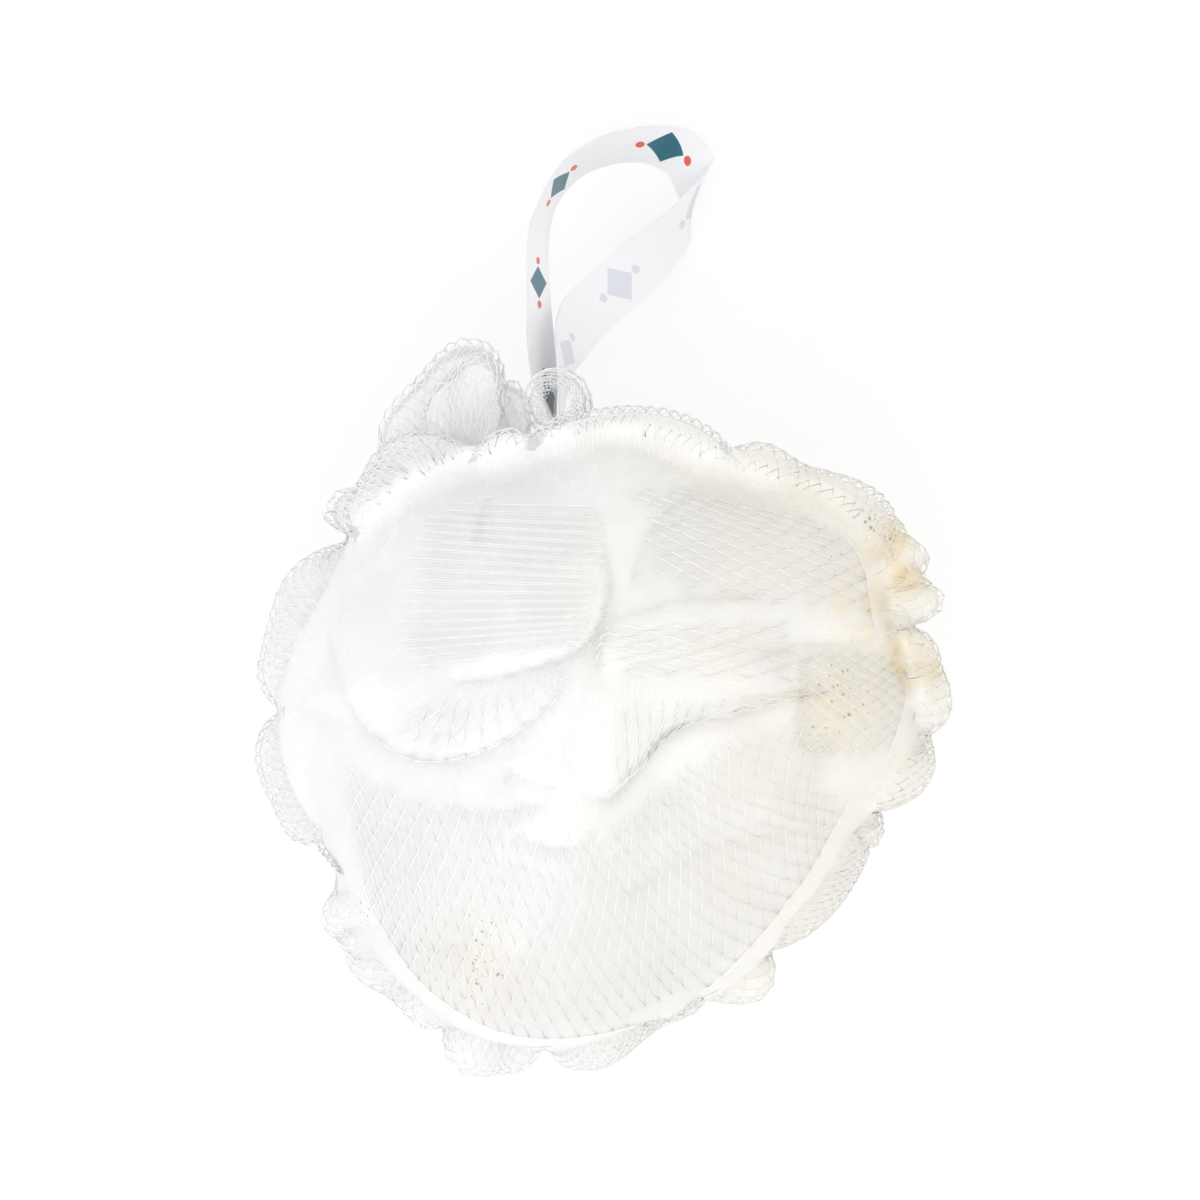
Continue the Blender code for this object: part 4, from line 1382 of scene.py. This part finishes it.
@dataclass
class RibbonLoop:
    """The satin ribbon: out from the tie, round its loop and back."""

    width: float = 0.012
    thickness: float = 0.00036
    edge_angle: float = 50.0
    steps: int = 260
    across: int = 10
    layer_offset: float = 0.55
    way_inner: tuple = (-3, 14, 50)
    way_outer: tuple = (-10, 74, 44)
    tie_edge: float = 13.8
    turns_at: float = 64
    loop: tuple = (
        (-14.7, 77.5, -9.4, 77.5, 41), (-15.5, 92.6, -10.7, 92.6, 33),
        (-15.3, 105.2, -11.1, 104.2, 24), (-12.6, 114, -9.5, 112.6, 17),
        (-7.4, 122, -4.4, 118.7, 11), (0.8, 126.8, 2.1, 121.4, 7.5),
        (10.3, 129, 8.8, 121.8, 5.6), (18.7, 128.1, 13.9, 119.5, 4.2),
        (23.1, 123.5, 15.8, 115.7, 3.6), (22.7, 120.5, 17.9, 110.9, 4),
        (15.8, 112.6, 18.7, 105.2, 6), (9.2, 107.5, 14.9, 99.3, 10),
        (0.8, 101.4, 8.2, 91.6, 17), (-6.5, 95.3, 0.8, 84.4, 25),
        (-9.2, 89, -3.2, 80.5, 33), (-9.2, 80, -6.2, 76.5, 40),
    )
    motif_at: float = 19.8

    def way(self, side: int) -> list:
        """Stations of one of the ribbon's two runs between the tie and its loop."""
        inner, outer = np.array(self.way_inner, dtype=float), np.array(self.way_outer, dtype=float)
        stations = []
        for y in np.linspace(self.tie_edge, self.turns_at, 4):
            middle = inner + (outer - inner) * (y - inner[1]) / (outer[1] - inner[1])
            middle[0] += side * self.layer_offset
            half = np.array((0, 0, self.width / MM / 2))
            stations.append(((middle + half) * MM, (middle - half) * MM))
        return stations

    def stations(self) -> list:
        """Upper and lower edge at each place along the ribbon, in metres."""
        loop = []
        for ux, uy, dx, dy, z in self.loop:
            upper, lower = true_place(ux, uy, z), true_place(dx, dy, z)
            plan = np.array((upper[0] - lower[0], upper[1] - lower[1], 0.0)) * MM
            rise = math.sqrt(max(self.width ** 2 - float(plan @ plan), 0))
            middle = np.array((upper[0] + lower[0], upper[1] + lower[1], 2 * z)) / 2 * MM
            half = unit(plan + np.array((0, 0, rise))) * self.width / 2
            loop.append((middle + half, middle - half))
        return self.way(-1) + loop + self.way(1)[::-1]

    def band(self) -> tuple[np.ndarray, np.ndarray, float]:
        """The ribbon's middle line and its direction across.

        Returns:
            Middle points, unit vectors across, and the line's length in metres.
        """
        stations = self.stations()
        uppers = np.array([s[0] for s in stations])
        lowers = np.array([s[1] for s in stations])
        shares = np.linspace(0, 1, self.steps + 1)
        upper, lower = smooth_curve(uppers, shares), smooth_curve(lowers, shares)
        middle = (upper + lower) / 2
        length = float(np.linalg.norm(np.diff(middle, axis=0), axis=1).sum())
        return middle, unit(upper - lower), length

    def build(self) -> bpy.types.Object:
        """Makes the ribbon as a closed thin band with its two faces mapped side by side."""
        middle, across, length = self.band()
        along = unit(np.gradient(middle, axis=0))
        normal = unit(np.cross(along, across))
        run = np.concatenate([[0], np.cumsum(np.linalg.norm(np.diff(middle, axis=0), axis=1))])
        share = run / run[-1]
        finish = SatinFinish(length, self.width, motif_start=self.motif_at * MM)
        material = finish.build()
        places = np.linspace(-1, 1, self.across + 1)
        points, uvs, faces = [], [], []
        for face_side in (1, -1):
            for i in range(self.steps + 1):
                for p in places:
                    spot = middle[i] + across[i] * p * self.width / 2
                    points.append(spot + normal[i] * face_side * self.thickness / 2)
                    shift = 0.0 if face_side == 1 else 0.5
                    uvs.append((shift + 0.25 + 0.24 * p, 0.01 + 0.98 * share[i]))
        width = self.across + 1
        count = (self.steps + 1) * width
        for i in range(self.steps):
            for j in range(self.across):
                a = i * width + j
                faces.append([a, a + width, a + width + 1, a + 1])
                b = a + count
                faces.append([b, b + 1, b + width + 1, b + width])
            for j, flip in ((0, False), (self.across, True)):
                a = i * width + j
                quad = [a, a + count, a + count + width, a + width]
                faces.append(quad[::-1] if flip else quad)
        for i, flip in ((0, False), (self.steps, True)):
            for j in range(self.across):
                a = i * width + j
                quad = [a, a + 1, a + 1 + count, a + count]
                faces.append(quad[::-1] if flip else quad)
        ribbon = mesh_object("satin_ribbon", np.array(points), faces, material, np.array(uvs))
        ribbon.data.set_sharp_from_angle(angle=math.radians(self.edge_angle))
        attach(ribbon, "root")
        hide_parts("ribbon_loop")
        LOG.info("satin_ribbon: %.1f mm long, %d triangles", length / MM, triangle_count(ribbon))
        return ribbon


@dataclass
class TieCord:
    """The cord that gathers the netting at its waist."""

    node: str = "tie_cord"

    def dress(self, nodes: dict) -> None:
        """Gives the cord its finish.

        Args:
            nodes: the frame's nodes by name.
        """
        mesh = nodes[self.node].data
        mesh.materials.clear()
        mesh.materials.append(CordFinish().build())
        LOG.info("tie_cord: dressed")


@dataclass
class Studio:
    """The pale floor, the soft light and the camera that looks straight down."""

    frame_width: float = 0.252
    aim: tuple = (-0.0002, 0.0296, 0.045)
    distance: float = 1.4
    sensor: float = 36.0
    floor_half: float = 3.0
    floor_white: float = 0.93
    floor_glow: float = 0.7
    sky_light: float = 1.14
    key_light: float = 3.6
    key_size: float = 1.2
    key_place: tuple = (-0.3, -0.7, 1.3)
    key_aim: tuple = (0, 0.02, 0.05)

    def build_camera(self) -> None:
        """Places the camera above the pouf."""
        data = bpy.data.cameras.new("camera")
        data.sensor_width = self.sensor
        data.lens = self.sensor * self.distance / self.frame_width
        data.clip_start, data.clip_end = 0.05, 20
        camera = bpy.data.objects.new("camera", data)
        camera.location = Vector(self.aim) + Vector((0, 0, self.distance))
        bpy.context.scene.collection.objects.link(camera)
        bpy.context.scene.camera = camera

    def build_floor(self) -> None:
        """Lays the pale floor, which shows white with the pouf's own soft shadow."""
        bm = bmesh.new()
        bmesh.ops.create_grid(bm, x_segments=1, y_segments=1, size=self.floor_half)
        mesh = bpy.data.meshes.new("floor")
        bm.to_mesh(mesh)
        bm.free()
        floor = bpy.data.objects.new("floor", mesh)
        bpy.context.scene.collection.objects.link(floor)
        material, graph, shader = new_material("floor_white")
        shader.inputs["Base Color"].default_value = (self.floor_white,) * 3 + (1,)
        shader.inputs["Roughness"].default_value = 0.9
        shader.inputs["Specular IOR Level"].default_value = 0.0
        seen = graph.seen_directly()
        glow = graph.add("ShaderNodeEmission", {"Strength": 1.0})
        both = graph.add("ShaderNodeMixShader", {
            0: graph.math("MULTIPLY", seen, self.floor_glow), 1: shader.outputs[0],
            2: glow.outputs[0],
        })
        out = material.node_tree.nodes["Material Output"]
        graph.tree.links.new(both.outputs[0], out.inputs["Surface"])
        mesh.materials.append(material)

    def build_light(self) -> None:
        """Sets an even sky and one large soft lamp."""
        world = bpy.data.worlds.new("studio")
        bpy.context.scene.world = world
        world.use_nodes = True
        graph = Graph(world.node_tree)
        seen = graph.seen_directly()
        lift = graph.math("MULTIPLY", seen, 1 - self.sky_light)
        strength = graph.math("ADD", lift, self.sky_light)
        background = world.node_tree.nodes["Background"]
        background.inputs["Color"].default_value = (1, 1, 1, 1)
        graph.tree.links.new(strength, background.inputs["Strength"])
        data = bpy.data.lights.new("key", "AREA")
        data.shape = "DISK"
        data.size = self.key_size
        data.energy = self.key_light
        lamp = bpy.data.objects.new("key", data)
        lamp.location = self.key_place
        aim = Vector(self.key_aim) - Vector(self.key_place)
        lamp.rotation_mode = "QUATERNION"
        lamp.rotation_quaternion = aim.to_track_quat("-Z", "Y")
        bpy.context.scene.collection.objects.link(lamp)

    def build(self) -> None:
        """Builds the whole setting."""
        self.build_camera()
        self.build_floor()
        self.build_light()
        bpy.context.scene.view_settings.view_transform = "Standard"


def main() -> None:
    """Loads the frame, dresses the pouf and sets the studio."""
    logging.basicConfig(level=logging.INFO, format="%(name)s %(message)s")
    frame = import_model()
    Studio().build()
    TieCord().dress(frame["nodes"])
    RibbonLoop().build()
    Netting().build()


if __name__ == "__main__":
    main()
